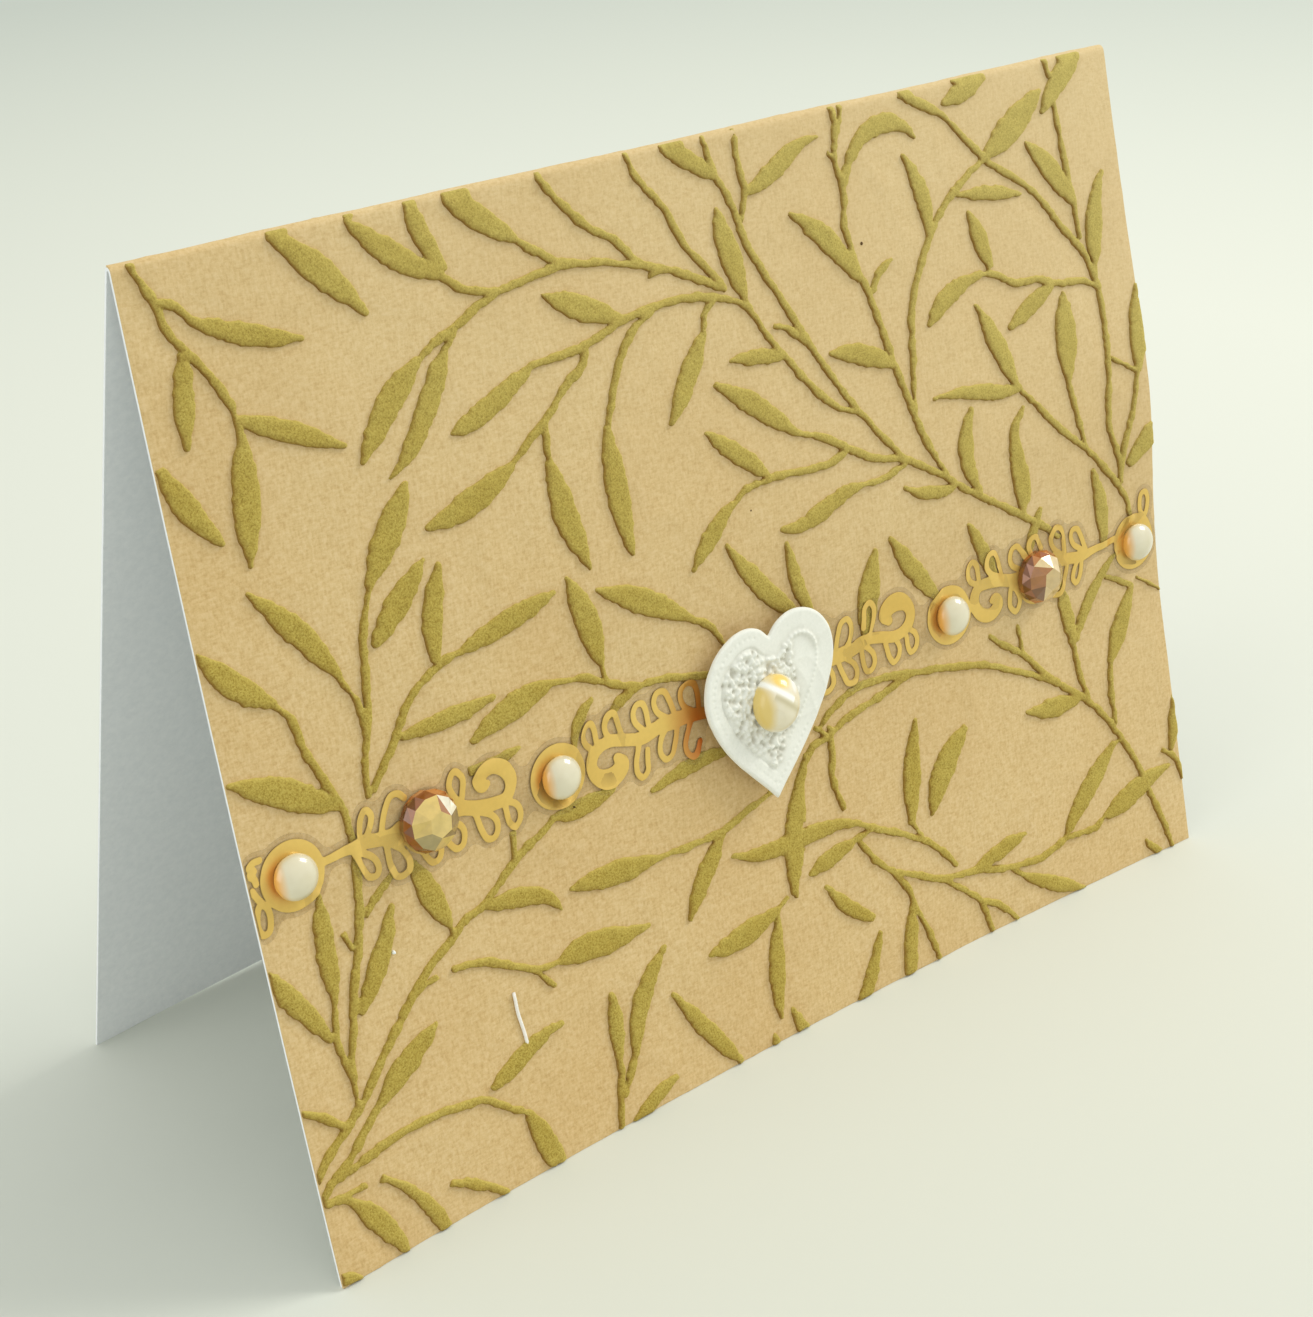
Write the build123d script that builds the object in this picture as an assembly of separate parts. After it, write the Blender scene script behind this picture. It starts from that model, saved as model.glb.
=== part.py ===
from build123d import *
import math
import os

# Greeting card: a folded white card standing like a tent, its front covered with
# handmade paper that carries raised flocked vines, a jewelled gold border and a heart.
# Millimetres, +Z up, +X along the fold, feet at Z = 0, front towards -Y.
# The origin is under the middle of the whole card.
# Places on the front are (x, y): x from its left edge, y up the panel from its foot.

# Folded card
card_w = 139.7
card_h = 107.95
card_t = 0.35
fold_r = 0.55
lean_deg = 14.5

# How far the back panel bulges outwards at the middle of its foot
back_bow = 4.0

# Layers of the front, from the card outwards
cover_t = 0.25
flock_t = 0.3
film_t = 0.1
foil_t = 0.05
seat_gap = 0.02

# Vine strokes. They were drawn on a front of the size below, and stretch to fit others.
drawn_w = 139.7
drawn_h = 107.95
stem_w = 1.0
stem_end_w = 0.7
leaf_base_w = 0.9
leaf_tip_w = 0.45
leaf_runs = 2

# Border: two lengths of the same sticker. Each starts with a pearl near a side edge,
# the right one turned the other way round, its scrolls slipped along and across it.
left_in = 5.2
left_y = 44.85
left_turn = -2.35
left_slip = (0.0, 0.0)
right_in = 3.8
right_y = 43.9
right_turn = 180.66
right_slip = (1.75, -1.5)
film_margin = 0.55
disc_d = 7.6
loop_w = 0.75
curl_w = 1.4
loop_sides = 10
disc_sides = 20

# Half pearls, two to a border length
pearl_pitch = 34.2
pearl_d = 5.0
pearl_rise = 2.3
pearl_sides = 16
pearl_rings = 4

# Cut stones: one to a border length, and one on the heart
stone_sides = 8
left_amber = (16.6, 0.2)
right_amber = (18.7, -0.2)
amber_d = 7.0
amber_rise = 3.0
jewel_left = 0.8
jewel_up = 1.0
jewel_w = 6.0
jewel_h = 6.4
jewel_rise = 2.6

# Shares of a stone's width and of its rise, from its foot to its flat top
stone_profile = ((1.0, 0.0), (1.0, 0.25), (0.82, 0.7), (0.45, 1.0))

# Heart on its foam pad
pad_d = 11.0
pad_t = 2.0
heart_left = 0.15
heart_y = 41.9
pad_clear = 0.3
heart_turn = -2.0
heart_w = 20.6
heart_h = 22.1
heart_t = 0.45
heart_edge = 0.2
emboss_inset = 2.4
emboss_t = 0.15
heart_runs = 18

# Worked out from the sizes above
lean = math.radians(lean_deg)
fold_z = card_h * math.cos(lean) - fold_r * math.sin(lean)
foot_y = card_h * math.sin(lean) + fold_r * math.cos(lean)
flock_top = cover_t + flock_t
film_top = flock_top + film_t
foil_top = film_top + foil_t
heart_x = card_w / 2 - heart_left
fold_y = (flock_top - back_bow) * math.cos(lean) / 2
front_plane = Plane(
    origin=(-card_w / 2, fold_y - foot_y, 0),
    x_dir=(1, 0, 0),
    z_dir=(0, -math.cos(lean), math.sin(lean)),
)
back_plane = Plane(
    origin=(-card_w / 2, fold_y + foot_y, 0),
    x_dir=(1, 0, 0),
    z_dir=(0, -math.cos(lean), -math.sin(lean)),
)

# Leaves: base, widest place with its width, tip. An S-shaped leaf has two places with widths.
leaves = (
    # top left
    ((9.7, 90.2), (8.85, 84.0, 3.2), (7.8, 77.1)),
    ((7.0, 101.9), (13.3, 99.1, 2.3), (18.6, 97.7)),
    ((5.4, 99.2), (4.5, 94.9, 2.3), (3.75, 89.9)),
    ((9.6, 91.7), (15.2, 88.9, 2.4), (20.9, 86.1)),
    ((0.5, 89.0), (2.5, 84.5, 2.7), (5.4, 80.0)),
    ((16.8, 108.3), (22.1, 103.3, 3.1), (26.2, 98.4)),
    ((36.0, 100.1), (29.6, 104.2, 2.7), (25.0, 108.6)),
    ((36.2, 100.6), (34.3, 104.3, 2.4), (32.9, 109.8)),
    ((31.2, 92.8), (26.6, 89.0, 3.0), (22.2, 83.8)),
    ((34.6, 93.2), (32.2, 89.4, 2.6), (28.9, 84.7, 2.1), (24.7, 81.2)),
    ((20.3, 71.3), (24.1, 76.6, 3.3), (27.1, 80.9)),
    ((40.2, 79.1), (34.3, 76.6, 3.1), (28.2, 75.3)),
    ((45.2, 89.0), (41.0, 87.0, 2.1), (37.2, 85.3, 2.5), (33.2, 84.1)),
    ((45.5, 102.2), (40.7, 105.7, 2.8), (36.0, 110.5)),
    ((57.4, 91.1), (52.0, 93.6, 2.9), (47.4, 95.9)),
    ((44.9, 78.6), (45.75, 72.5, 3.2), (47.9, 65.2)),
    ((53.2, 80.3), (53.1, 72.7, 3.1), (53.8, 65.0)),
    ((68.3, 87.1), (65.4, 83.0, 2.7), (61.9, 78.1)),
    # top middle and right
    ((73.2, 103.8), (69.5, 106.5, 2.4), (65.0, 109.2)),
    ((79.5, 72.8), (74.9, 76.8, 2.7), (68.8, 81.2)),
    ((77.8, 101.3), (82.2, 103.2, 2.4), (86.0, 105.0, 1.6), (89.3, 105.6)),
    ((75.1, 89.6), (73.7, 95.4, 3.1), (72.8, 100.5)),
    ((79.5, 82.0), (75.5, 82.75, 2.0), (71.5, 83.2)),
    ((92.8, 88.0), (88.7, 93.5, 2.8), (83.3, 97.8)),
    ((92.4, 99.5), (94.5, 103.1, 1.7), (99.8, 105.4, 2.4), (104.8, 102.8)),
    ((94.4, 86.0), (95.7, 88.1, 1.2), (98.3, 89.6)),
    ((96.4, 77.0), (91.6, 79.4, 2.7), (86.4, 80.6)),
    ((104.8, 90.7), (104.6, 95.6, 2.3), (102.2, 101.3)),
    ((109.9, 104.6), (106.2, 106.6, 1.3), (102.0, 108.4)),
    ((112.7, 84.8), (109.3, 84.3, 1.8), (105.8, 82.9, 2.5), (102.5, 80.4)),
    ((118.8, 109.4), (114.0, 107.2, 2.7), (109.6, 105.8)),
    ((115.7, 98.5), (120.8, 101.3, 3.8), (126.9, 105.1)),
    ((111.0, 94.8), (116.3, 94.1, 1.9), (121.4, 93.1)),
    ((114.4, 85.1), (113.1, 89.0, 2.6), (111.7, 92.8)),
    ((130.1, 90.2), (127.0, 95.0, 3.1), (123.0, 99.2)),
    ((135.4, 109.2), (130.3, 105.6, 3.0), (126.6, 102.1)),
    ((132.6, 81.9), (133.3, 86.4, 3.0), (134.4, 90.4, 2.1), (136.4, 93.6)),
    ((116.2, 69.6), (113.6, 75.7, 2.8), (110.9, 81.4)),
    ((124.5, 81.1), (120.0, 79.1, 2.4), (116.0, 77.1)),
    ((124.9, 68.7), (125.5, 73.5, 3.7), (126.2, 80.0)),
    ((137.8, 66.8), (138.9, 72.8, 3.4), (140.6, 79.3)),
    # middle left
    ((7.2, 62.8), (2.5, 67.0, 2.7), (0.1, 70.4)),
    ((12.0, 50.0), (6.1, 53.7, 3.3), (0.1, 56.6)),
    ((15.0, 63.3), (11.3, 69.2, 2.7), (6.7, 74.7)),
    ((19.3, 65.1), (23.0, 68.4, 2.9), (27.4, 72.5)),
    ((26.4, 61.2), (27.2, 66.6, 2.8), (29.1, 71.6)),
    ((30.0, 61.4), (36.0, 62.8, 2.7), (42.8, 64.2)),
    ((20.5, 54.8), (25.8, 54.8, 2.2), (33.0, 55.3)),
    ((40.6, 54.4), (34.9, 53.4, 3.1), (29.0, 51.2)),
    ((28.0, 48.2), (31.6, 48.1, 1.4), (35.3, 48.7)),
    ((47.4, 54.2), (46.5, 59.2, 3.3), (44.4, 65.5)),
    ((61.0, 55.4), (54.5, 59.5, 3.0), (47.9, 62.9)),
    ((41.9, 46.0), (43.2, 48.8, 1.5), (45.6, 50.9)),
    ((52.0, 50.2), (49.6, 49.4, 1.3), (47.0, 47.6)),
    ((64.0, 38.5), (57.2, 38.4, 1.9), (51.5, 37.4)),
    ((69.0, 67.2), (65.4, 64.6, 2.3), (61.8, 60.8)),
    # middle right
    ((74.6, 69.0), (70.9, 72.3, 2.4), (66.3, 76.2)),
    ((88.4, 64.1), (83.5, 63.2, 2.2), (79.0, 61.9, 1.9), (75.4, 62.2)),
    ((103.8, 60.1), (99.6, 60.2, 1.7), (95.1, 62.2)),
    ((76.8, 51.0), (71.8, 56.1, 2.6), (67.0, 62.6)),
    ((78.7, 50.5), (76.9, 55.2, 2.1), (76.0, 60.6)),
    ((86.6, 45.2), (87.9, 50.4, 3.5), (89.6, 55.9)),
    ((99.7, 46.3), (96.3, 50.6, 2.6), (92.0, 56.7)),
    ((116.3, 69.5), (110.8, 70.3, 2.1), (106.0, 71.3, 1.4), (101.7, 71.6)),
    ((107.7, 58.3), (106.1, 64.8, 2.5), (107.9, 69.3)),
    ((115.1, 53.4), (114.9, 59.2, 3.0), (114.5, 63.5, 1.9), (116.7, 67.3)),
    ((109.8, 45.5), (107.4, 50.9, 2.1), (105.4, 54.8)),
    ((115.2, 47.0), (116.6, 50.5, 1.5), (118.2, 53.6)),
    ((129.5, 45.0), (129.4, 50.5, 2.4), (128.1, 56.0)),
    ((134.8, 54.9), (138.3, 57.6, 3.2), (143.0, 60.5)),
    # bottom left
    ((6.6, 30.0), (6.95, 36.6, 2.4), (7.5, 42.3)),
    ((5.4, 26.4), (1.6, 32.9, 2.4), (-1.6, 38.0)),
    ((9.1, 27.7), (12.9, 32.5, 2.5), (15.7, 37.9)),
    ((22.1, 32.5), (20.3, 37.4, 2.8), (18.8, 41.8)),
    ((37.4, 39.2), (42.0, 39.1, 2.2), (46.8, 39.7)),
    ((27.0, 32.9), (30.8, 32.2, 2.2), (34.2, 31.2, 2.0), (36.8, 28.5)),
    ((35.0, 22.9), (39.5, 22.9, 3.4), (44.3, 22.3, 2.2), (48.3, 22.2)),
    ((9.0, 17.3), (13.0, 20.0, 2.9), (18.1, 22.9)),
    ((26.9, 8.2), (28.7, 3.2, 2.8), (31.0, -4.0)),
    ((23.0, 12.5), (27.3, 14.2, 2.2), (30.5, 15.4, 1.7), (34.0, 16.0)),
    ((2.9, 9.1), (6.2, 4.6, 2.6), (8.8, -0.8)),
    ((7.3, 9.4), (10.5, 6.3, 1.3), (12.6, 2.9, 2.0), (15.0, -2.5)),
    ((15.3, 4.7), (19.0, 2.7, 1.2), (23.5, -1.2)),
    ((-1.5, 1.8), (1.0, 0.7, 1.3), (3.2, -0.8)),
    ((50.7, 29.5), (44.5, 29.9, 2.9), (38.2, 30.5)),
    ((60.7, 28.7), (57.5, 25.3, 2.6), (53.8, 20.4)),
    ((67.2, 16.6), (61.0, 15.4, 3.0), (55.6, 15.0)),
    ((66.9, 15.6), (65.5, 8.8, 2.5), (64.9, 2.7)),
    ((40.6, 8.2), (41.0, 12.5, 2.2), (41.1, 16.5)),
    ((42.9, 7.7), (45.0, 13.4, 2.6), (49.8, 19.0)),
    ((58.0, 0.2), (53.8, 6.1, 2.3), (49.6, 12.8)),
    ((40.2, -1.2), (44.5, 1.4, 2.0), (48.3, 2.7)),
    ((64.3, -1.6), (63.6, 0.2, 1.4), (63.5, 1.6)),
    ((69.6, -3.2), (68.0, 0.4, 1.9), (66.9, 3.6)),
    # bottom right
    ((82.0, 22.4), (77.0, 23.7, 1.8), (67.0, 24.1, 2.1), (61.5, 25.7)),
    ((72.3, 22.8), (70.8, 20.6, 2.0), (70.2, 16.8)),
    ((80.4, 20.6), (76.0, 19.7, 2.3), (72.6, 18.8)),
    ((81.9, 9.6), (77.5, 13.2, 2.1), (75.0, 16.6)),
    ((76.0, -3.0), (80.2, 2.6, 2.1), (82.6, 7.6)),
    ((88.6, 9.2), (87.3, 4.2, 2.4), (86.2, -3.4)),
    ((99.9, 9.5), (104.2, 10.4, 2.3), (109.6, 11.3)),
    ((90.2, 19.3), (91.6, 26.4, 2.8), (93.2, 32.6)),
    ((101.5, 28.9), (97.0, 24.9, 3.6), (93.7, 19.2)),
    ((122.3, 33.2), (121.6, 38.3, 2.3), (120.6, 43.0)),
    ((122.7, 33.8), (126.4, 39.3, 1.7), (132.0, 43.8)),
    ((128.5, 29.0), (131.2, 33.4, 3.0), (134.3, 38.5)),
    ((122.2, 26.1), (117.0, 26.3, 2.6), (112.3, 27.1)),
    ((127.7, 18.1), (121.8, 13.3, 2.9), (116.2, 8.0)),
    ((124.2, 8.4), (129.5, 9.9, 3.2), (133.6, 11.1, 2.2), (137.8, 11.7)),
    ((108.5, 5.4), (113.6, 2.5, 2.2), (119.2, -0.2)),
    ((133.8, 0.0), (132.1, 1.5, 1.3), (131.2, 2.7)),
    ((138.0, 13.6), (139.3, 17.8, 2.0), (140.4, 22.5)),
)

# Leaves that end square, where the pattern is broken: points with widths
broken_leaves = (
    ((75.2, 33.8, 0.9), (73.3, 30.3, 1.8), (72.2, 25.9, 2.6)),
)

# Stems, as points along them
stems = (
    # top left
    ((1.6, 108.6), (3.4, 104.8), (4.4, 101.2), (7.0, 97.5), (9.2, 93.2), (9.7, 89.6)),
    ((3.4, 104.5), (5.4, 103.8), (7.3, 101.7)),
    ((30.6, 92.3), (33.0, 93.7), (36.6, 95.1), (39.8, 96.6), (42.4, 97.4)),
    ((34.2, 92.6), (35.2, 93.8), (36.2, 94.7)),
    ((35.6, 100.5), (37.0, 99.2), (39.0, 98.1), (42.3, 97.4), (46.3, 98.0), (50.5, 98.4),
     (55.8, 97.7), (61.0, 96.3), (65.5, 94.8), (69.7, 92.7), (72.6, 91.0)),
    ((45.0, 102.6), (47.0, 100.9), (50.5, 98.9), (53.5, 98.1)),
    ((48.7, 108.8), (51.8, 104.9), (55.2, 101.5), (58.0, 99.8), (60.2, 97.3), (62.8, 95.7)),
    ((62.0, 95.0), (64.6, 95.1)),
    ((61.0, 109.0), (62.5, 105.5), (65.5, 101.8), (67.8, 97.0), (70.0, 94.4), (72.5, 91.2)),
    ((40.0, 79.0), (43.2, 81.4), (46.0, 83.3), (48.5, 85.7), (51.0, 87.2), (52.3, 89.5)),
    ((45.3, 82.6), (44.9, 79.8), (44.9, 77.6)),
    ((44.8, 88.9), (48.0, 89.0), (52.3, 89.4), (57.0, 90.9), (63.3, 91.6), (68.0, 91.3),
     (72.2, 90.3), (75.2, 88.7), (77.6, 84.6), (80.4, 81.0), (83.3, 77.2), (86.0, 74.6),
     (90.2, 72.3)),
    ((61.8, 91.2), (58.8, 89.7), (56.3, 86.8), (54.2, 82.4), (53.1, 79.6)),
    ((70.6, 90.8), (69.0, 89.2), (68.2, 86.6)),
    ((75.2, 88.6), (75.0, 90.6)),
    # top middle
    ((72.2, 109.0), (73.2, 104.4), (75.1, 100.5), (76.3, 96.0), (78.8, 91.2), (81.6, 86.3),
     (84.6, 80.7), (88.0, 75.3), (92.0, 70.0), (96.2, 65.3)),
    ((77.0, 109.0), (76.8, 105.5), (77.3, 101.6), (76.2, 98.2)),
    ((77.1, 101.0), (78.3, 101.6)),
    ((78.7, 85.8), (81.0, 84.7), (83.2, 82.6)),
    ((91.6, 109.0), (92.1, 106.6), (91.3, 102.6), (92.1, 98.2), (91.5, 94.8), (92.7, 89.2),
     (94.2, 85.3), (95.3, 81.0), (96.6, 75.8), (98.4, 70.0), (100.2, 65.8), (102.7, 61.5)),
    ((93.6, 108.6), (92.3, 105.4)),
    ((90.3, 103.5), (91.4, 102.6)),
    ((92.0, 98.3), (92.5, 100.6), (93.6, 102.5)),
    ((93.9, 86.0), (95.0, 87.4)),
    ((98.4, 70.4), (99.2, 76.6), (100.3, 83.0), (102.6, 87.7), (105.2, 91.6), (108.6, 94.6),
     (112.4, 97.0), (115.7, 98.3)),
    # top right
    ((109.4, 105.0), (112.4, 101.8), (116.0, 98.1), (120.2, 95.4), (124.2, 92.2),
     (127.6, 87.8), (131.0, 83.9), (132.6, 79.0), (132.8, 74.0), (132.2, 67.0),
     (131.6, 61.3), (133.4, 55.0), (133.4, 52.6)),
    ((109.6, 95.2), (112.4, 94.5)),
    ((112.3, 84.7), (114.3, 84.5), (118.4, 82.5), (122.0, 82.2), (126.0, 80.9), (130.2, 80.4),
     (132.6, 79.0)),
    ((127.9, 108.8), (128.9, 106.2)),
    ((129.0, 103.2), (129.6, 97.4), (130.0, 92.4), (130.7, 85.6)),
    ((132.4, 80.4), (132.9, 82.6)),
    ((116.0, 70.0), (118.9, 66.9), (123.2, 62.3), (128.0, 58.2), (132.0, 53.7), (134.1, 50.8),
     (135.0, 47.4)),
    ((124.7, 69.4), (125.9, 63.6), (127.4, 58.6)),
    ((137.7, 67.4), (136.3, 62.6), (134.2, 57.8), (133.4, 54.0)),
    ((133.0, 69.8), (137.6, 67.0)),
    # middle left
    ((6.4, 63.5), (8.6, 61.0), (9.2, 57.6), (10.9, 53.2), (12.3, 49.6), (12.6, 46.0),
     (12.1, 41.0), (10.9, 35.4), (9.3, 31.2), (7.8, 25.9), (6.7, 22.2), (6.6, 18.2)),
    ((14.6, 63.9), (16.4, 59.8), (16.7, 56.3), (15.7, 52.8), (15.5, 49.7)),
    ((20.6, 71.8), (18.7, 66.9), (17.8, 61.8), (17.2, 57.8), (16.4, 55.2)),
    ((16.0, 50.3), (19.6, 54.3), (22.2, 58.0), (25.2, 60.2), (27.6, 61.1), (30.6, 61.5)),
    ((40.2, 54.4), (45.4, 53.2), (48.5, 51.5), (52.2, 50.2), (56.3, 49.8), (60.5, 48.6),
     (64.0, 48.0)),
    ((47.4, 54.8), (47.7, 52.0)),
    ((60.4, 55.7), (63.2, 53.9), (65.2, 50.8)),
    ((12.2, 37.6), (14.0, 39.2), (17.0, 41.2)),
    ((9.3, 37.0), (10.0, 34.6)),
    # middle right
    ((68.4, 66.6), (70.8, 68.1), (75.6, 68.6), (80.6, 68.0), (84.6, 68.1), (87.2, 69.1)),
    ((74.2, 69.4), (75.2, 68.5)),
    ((79.0, 73.0), (83.0, 71.5), (87.0, 69.2), (90.6, 67.0), (96.0, 65.5), (102.2, 61.7),
     (106.2, 58.7), (110.8, 55.9), (116.0, 52.5), (119.0, 50.5), (121.3, 48.5)),
    ((87.6, 64.2), (92.0, 64.0), (96.0, 65.0)),
    ((107.8, 59.2), (107.9, 57.8)),
    ((115.2, 54.2), (115.4, 52.8)),
    # bottom left
    ((6.6, 30.6), (5.8, 26.2), (6.6, 21.0)),
    ((-0.6, 12.0), (1.4, 14.3), (4.5, 16.5), (7.5, 18.7), (11.0, 22.4), (15.3, 26.4),
     (19.0, 29.5), (21.8, 30.9), (23.6, 32.2), (26.6, 33.0), (30.0, 35.2), (32.8, 37.0),
     (36.0, 38.2), (38.2, 39.4)),
    ((22.2, 31.6), (22.2, 33.4)),
    ((-0.6, 20.8), (2.3, 18.9), (4.8, 16.6)),
    ((16.4, 27.2), (19.4, 27.8)),
    ((31.8, 36.6), (32.2, 39.8)),
    ((21.2, 27.8), (25.3, 26.9), (28.8, 25.0), (32.0, 23.2), (35.6, 22.8)),
    ((31.6, 23.2), (33.9, 20.4)),
    ((-0.6, 10.0), (1.6, 11.7), (4.0, 13.0), (6.6, 15.4), (9.4, 17.6)),
    ((1.2, 11.5), (5.0, 12.2), (10.0, 13.0), (15.0, 13.0), (19.0, 12.4), (21.6, 11.9),
     (24.2, 9.9), (27.0, 7.8)),
    ((0.0, 9.8), (2.2, 9.5), (3.4, 8.6)),
    ((2.2, 9.6), (5.6, 9.5)),
    ((50.3, 29.5), (55.5, 29.1), (61.0, 29.1), (65.0, 30.2), (70.0, 31.3)),
    ((60.2, 29.2), (60.9, 28.2)),
    ((66.6, 16.4), (69.0, 17.6)),
    ((67.0, 16.6), (66.6, 14.2)),
    ((40.6, 8.8), (40.5, 6.4), (39.9, 4.2), (39.0, -0.6)),
    ((43.2, 8.2), (41.6, 5.6), (40.2, 3.4)),
    # bottom right
    ((74.8, 33.2), (76.4, 34.5), (79.5, 35.1), (83.0, 36.4), (87.2, 37.0), (91.0, 37.9),
     (94.0, 38.4)),
    ((77.0, 36.8), (78.6, 35.3)),
    ((79.4, 36.2), (79.2, 32.8), (78.6, 29.3), (79.8, 25.0)),
    ((77.6, 36.3), (80.6, 38.2), (84.5, 39.4), (89.0, 39.3), (94.0, 38.4), (100.0, 37.2),
     (105.6, 35.8), (111.6, 33.0), (117.5, 30.0), (122.4, 26.4), (126.0, 22.8), (129.0, 18.3),
     (131.6, 13.2), (133.4, 8.2), (135.0, 4.0), (136.3, -0.6)),
    ((81.2, 22.7), (84.4, 20.8), (88.5, 18.6), (92.5, 16.1), (95.2, 13.4), (96.8, 11.2)),
    ((79.6, 20.5), (82.2, 20.9), (83.8, 21.2)),
    ((90.3, 19.6), (91.8, 16.8)),
    ((81.2, 20.5), (83.2, 17.3), (86.4, 13.9), (88.2, 11.0), (88.7, 8.4)),
    ((88.8, 8.4), (90.0, 5.8), (91.0, 3.0), (91.9, -0.6)),
    ((86.6, 14.2), (90.2, 12.3), (94.0, 10.4), (99.8, 9.4), (105.0, 7.8), (111.0, 7.0),
     (117.0, 7.9), (122.0, 7.6), (124.8, 8.7)),
    ((94.6, 10.0), (97.2, 7.8), (100.0, 5.2), (101.6, 0.6), (101.8, -0.6)),
    ((100.0, 5.2), (103.2, 3.3), (106.8, -0.4)),
    ((106.0, 7.4), (109.2, 4.9)),
    ((107.2, 39.3), (110.0, 37.0), (113.0, 35.0), (117.0, 30.8), (119.0, 29.3)),
    ((112.5, 39.3), (113.0, 35.2)),
    ((122.3, 34.2), (122.8, 29.6), (124.0, 25.4)),
    ((129.4, 41.0), (132.6, 39.3), (134.6, 38.2)),
    ((135.2, 39.3), (140.4, 36.0)),
    ((128.8, 29.8), (128.1, 25.2), (128.3, 20.2)),
    ((127.0, 17.7), (129.0, 18.2)),
    ((136.3, 14.2), (138.4, 12.6), (139.8, 9.0)),
)

# Gold loops of one border length: place along and across it from the first pearl,
# then width and length
loops = (
    (-4.0, 1.4, 2.4, 3.4), (-3.8, -3.6, 2.2, 3.4),
    (10.1, 2.7, 2.8, 3.6), (13.6, 3.0, 3.0, 4.0), (21.2, 3.1, 2.7, 3.9),
    (9.7, -2.1, 3.2, 3.6), (13.0, -2.8, 3.0, 4.2), (17.2, -3.3, 2.6, 3.2),
    (20.7, -2.6, 2.9, 3.8), (24.8, -2.6, 3.3, 4.2), (28.2, -2.2, 2.7, 4.2),
    (39.5, 3.0, 2.6, 3.8), (42.9, 3.3, 3.0, 4.0), (47.0, 3.0, 3.1, 4.4), (50.3, 3.2, 3.0, 4.6),
    (46.4, -1.9, 3.1, 4.6), (50.6, -1.3, 3.4, 4.0), (54.1, -1.8, 3.3, 4.4),
)

# The two big curls: place along and across from the first pearl, and across them
curls = ((26.1, 2.5, 5.2, 3.8), (41.6, -1.5, 5.4, 5.0))

# Backbone of the scrolls from the first pearl, as points with widths
backbones = (
    ((1.0, 0.0, 0.9), (5.5, 0.2, 1.1), (8.5, 0.3, 1.6), (13.5, 0.3, 1.6)),
    ((19.5, 0.4, 1.6), (23.1, -0.2, 1.6), (26.0, -0.5, 1.5), (29.0, 0.5, 1.6),
     (31.4, 0.2, 1.4)),
    ((36.4, 0.5, 1.4), (40.4, 1.3, 1.5), (46.8, 0.7, 1.6), (50.6, 0.5, 1.5), (56.6, 0.9, 1.2)),
)

# Half of the heart's outline from the notch to the point, as shares of its width and height
heart_half = (
    (0.0, 0.41), (0.22, 0.5), (0.42, 0.4), (0.5, 0.2), (0.44, 0.0), (0.29, -0.21),
    (0.15, -0.35), (0.0, -0.5),
)


def strand(points, runs=1):
    """A flat stroke along points given with widths, its sides in straight runs."""
    left = []
    right = []
    last = len(points) - 1
    for i, (x, y, width) in enumerate(points):
        before = points[max(i - 1, 0)]
        after = points[min(i + 1, last)]
        length = math.hypot(after[0] - before[0], after[1] - before[1])
        nx = -(after[1] - before[1]) / length * width / 2
        ny = (after[0] - before[0]) / length * width / 2
        right.append((x - nx, y - ny))
        left.insert(0, (x + nx, y + ny))
    if runs > 1:
        count = runs * last
        right = [Spline(*right) @ (i / count) for i in range(count + 1)]
        left = [Spline(*left) @ (i / count) for i in range(count + 1)]
    return Polygon(*right, *left, align=None)


def leaf(points):
    base, *middle, tip = points
    return strand([(*base, leaf_base_w), *middle, (*tip, leaf_tip_w)], leaf_runs)


def stem(points):
    first, *middle, last = points
    widths = [(x, y, stem_w) for x, y in middle]
    return strand([(*first, stem_end_w), *widths, (*last, stem_end_w)])


def trimmed(drawing):
    """The part of a flat drawing that lies on the front."""
    return drawing & (Pos(card_w / 2, card_h / 2) * Rectangle(card_w, card_h))


def sheet(drawing, bottom, top):
    """A flat drawing on the front as a layer between two heights above the card."""
    return front_plane * (Pos(0, 0, bottom) * extrude(trimmed(drawing), top - bottom))


def seated(x, y, height, shape):
    """Set a small piece on the front at a height above the card."""
    return front_plane * (Pos(x, y, height) * shape)


def folded_front():
    """The flat front panel with the rounded fold at its top."""
    front_out = front_plane.from_local_coords(Vector(0, card_h, 0))
    front_in = front_plane.from_local_coords(Vector(0, card_h, -card_t))
    foot_out = front_plane.from_local_coords(Vector(0, 0, 0))
    foot_in = front_plane.from_local_coords(Vector(0, 0, -card_t))
    ridge_out = Vector(-card_w / 2, fold_y, fold_z + fold_r)
    ridge_in = ridge_out - Vector(0, 0, card_t)
    back_out = Vector(front_out.X, 2 * fold_y - front_out.Y, front_out.Z)
    back_in = Vector(front_in.X, 2 * fold_y - front_in.Y, front_in.Z)
    profile = Wire([
        Edge.make_line(foot_out, front_out),
        Edge.make_three_point_arc(front_out, ridge_out, back_out),
        Edge.make_line(back_out, back_in),
        Edge.make_three_point_arc(back_in, ridge_in, front_in),
        Edge.make_line(front_in, foot_in),
        Edge.make_line(foot_in, foot_out),
    ])
    return extrude(Face(profile), amount=card_w, dir=(1, 0, 0))


def back_panel():
    """The back panel, flat at the fold and bulging at the middle of its foot."""
    sections = []
    for share, bow in ((0, 0), (0.5, back_bow), (1, 0)):
        x = share * card_w
        corners = [(x, 0, -bow), (x, card_h, 0), (x, card_h, card_t), (x, 0, card_t - bow)]
        places = [back_plane.from_local_coords(Vector(*corner)) for corner in corners]
        sections.append(Wire.make_polygon(places, close=True))
    return Solid.make_loft(sections)


def card_base():
    """The folded sheet, its feet level with the surface that it stands on."""
    under = Pos(0, 0, -card_t) * Box(2 * card_w, 4 * foot_y, 2 * card_t)
    return folded_front() + back_panel() - under


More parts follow.
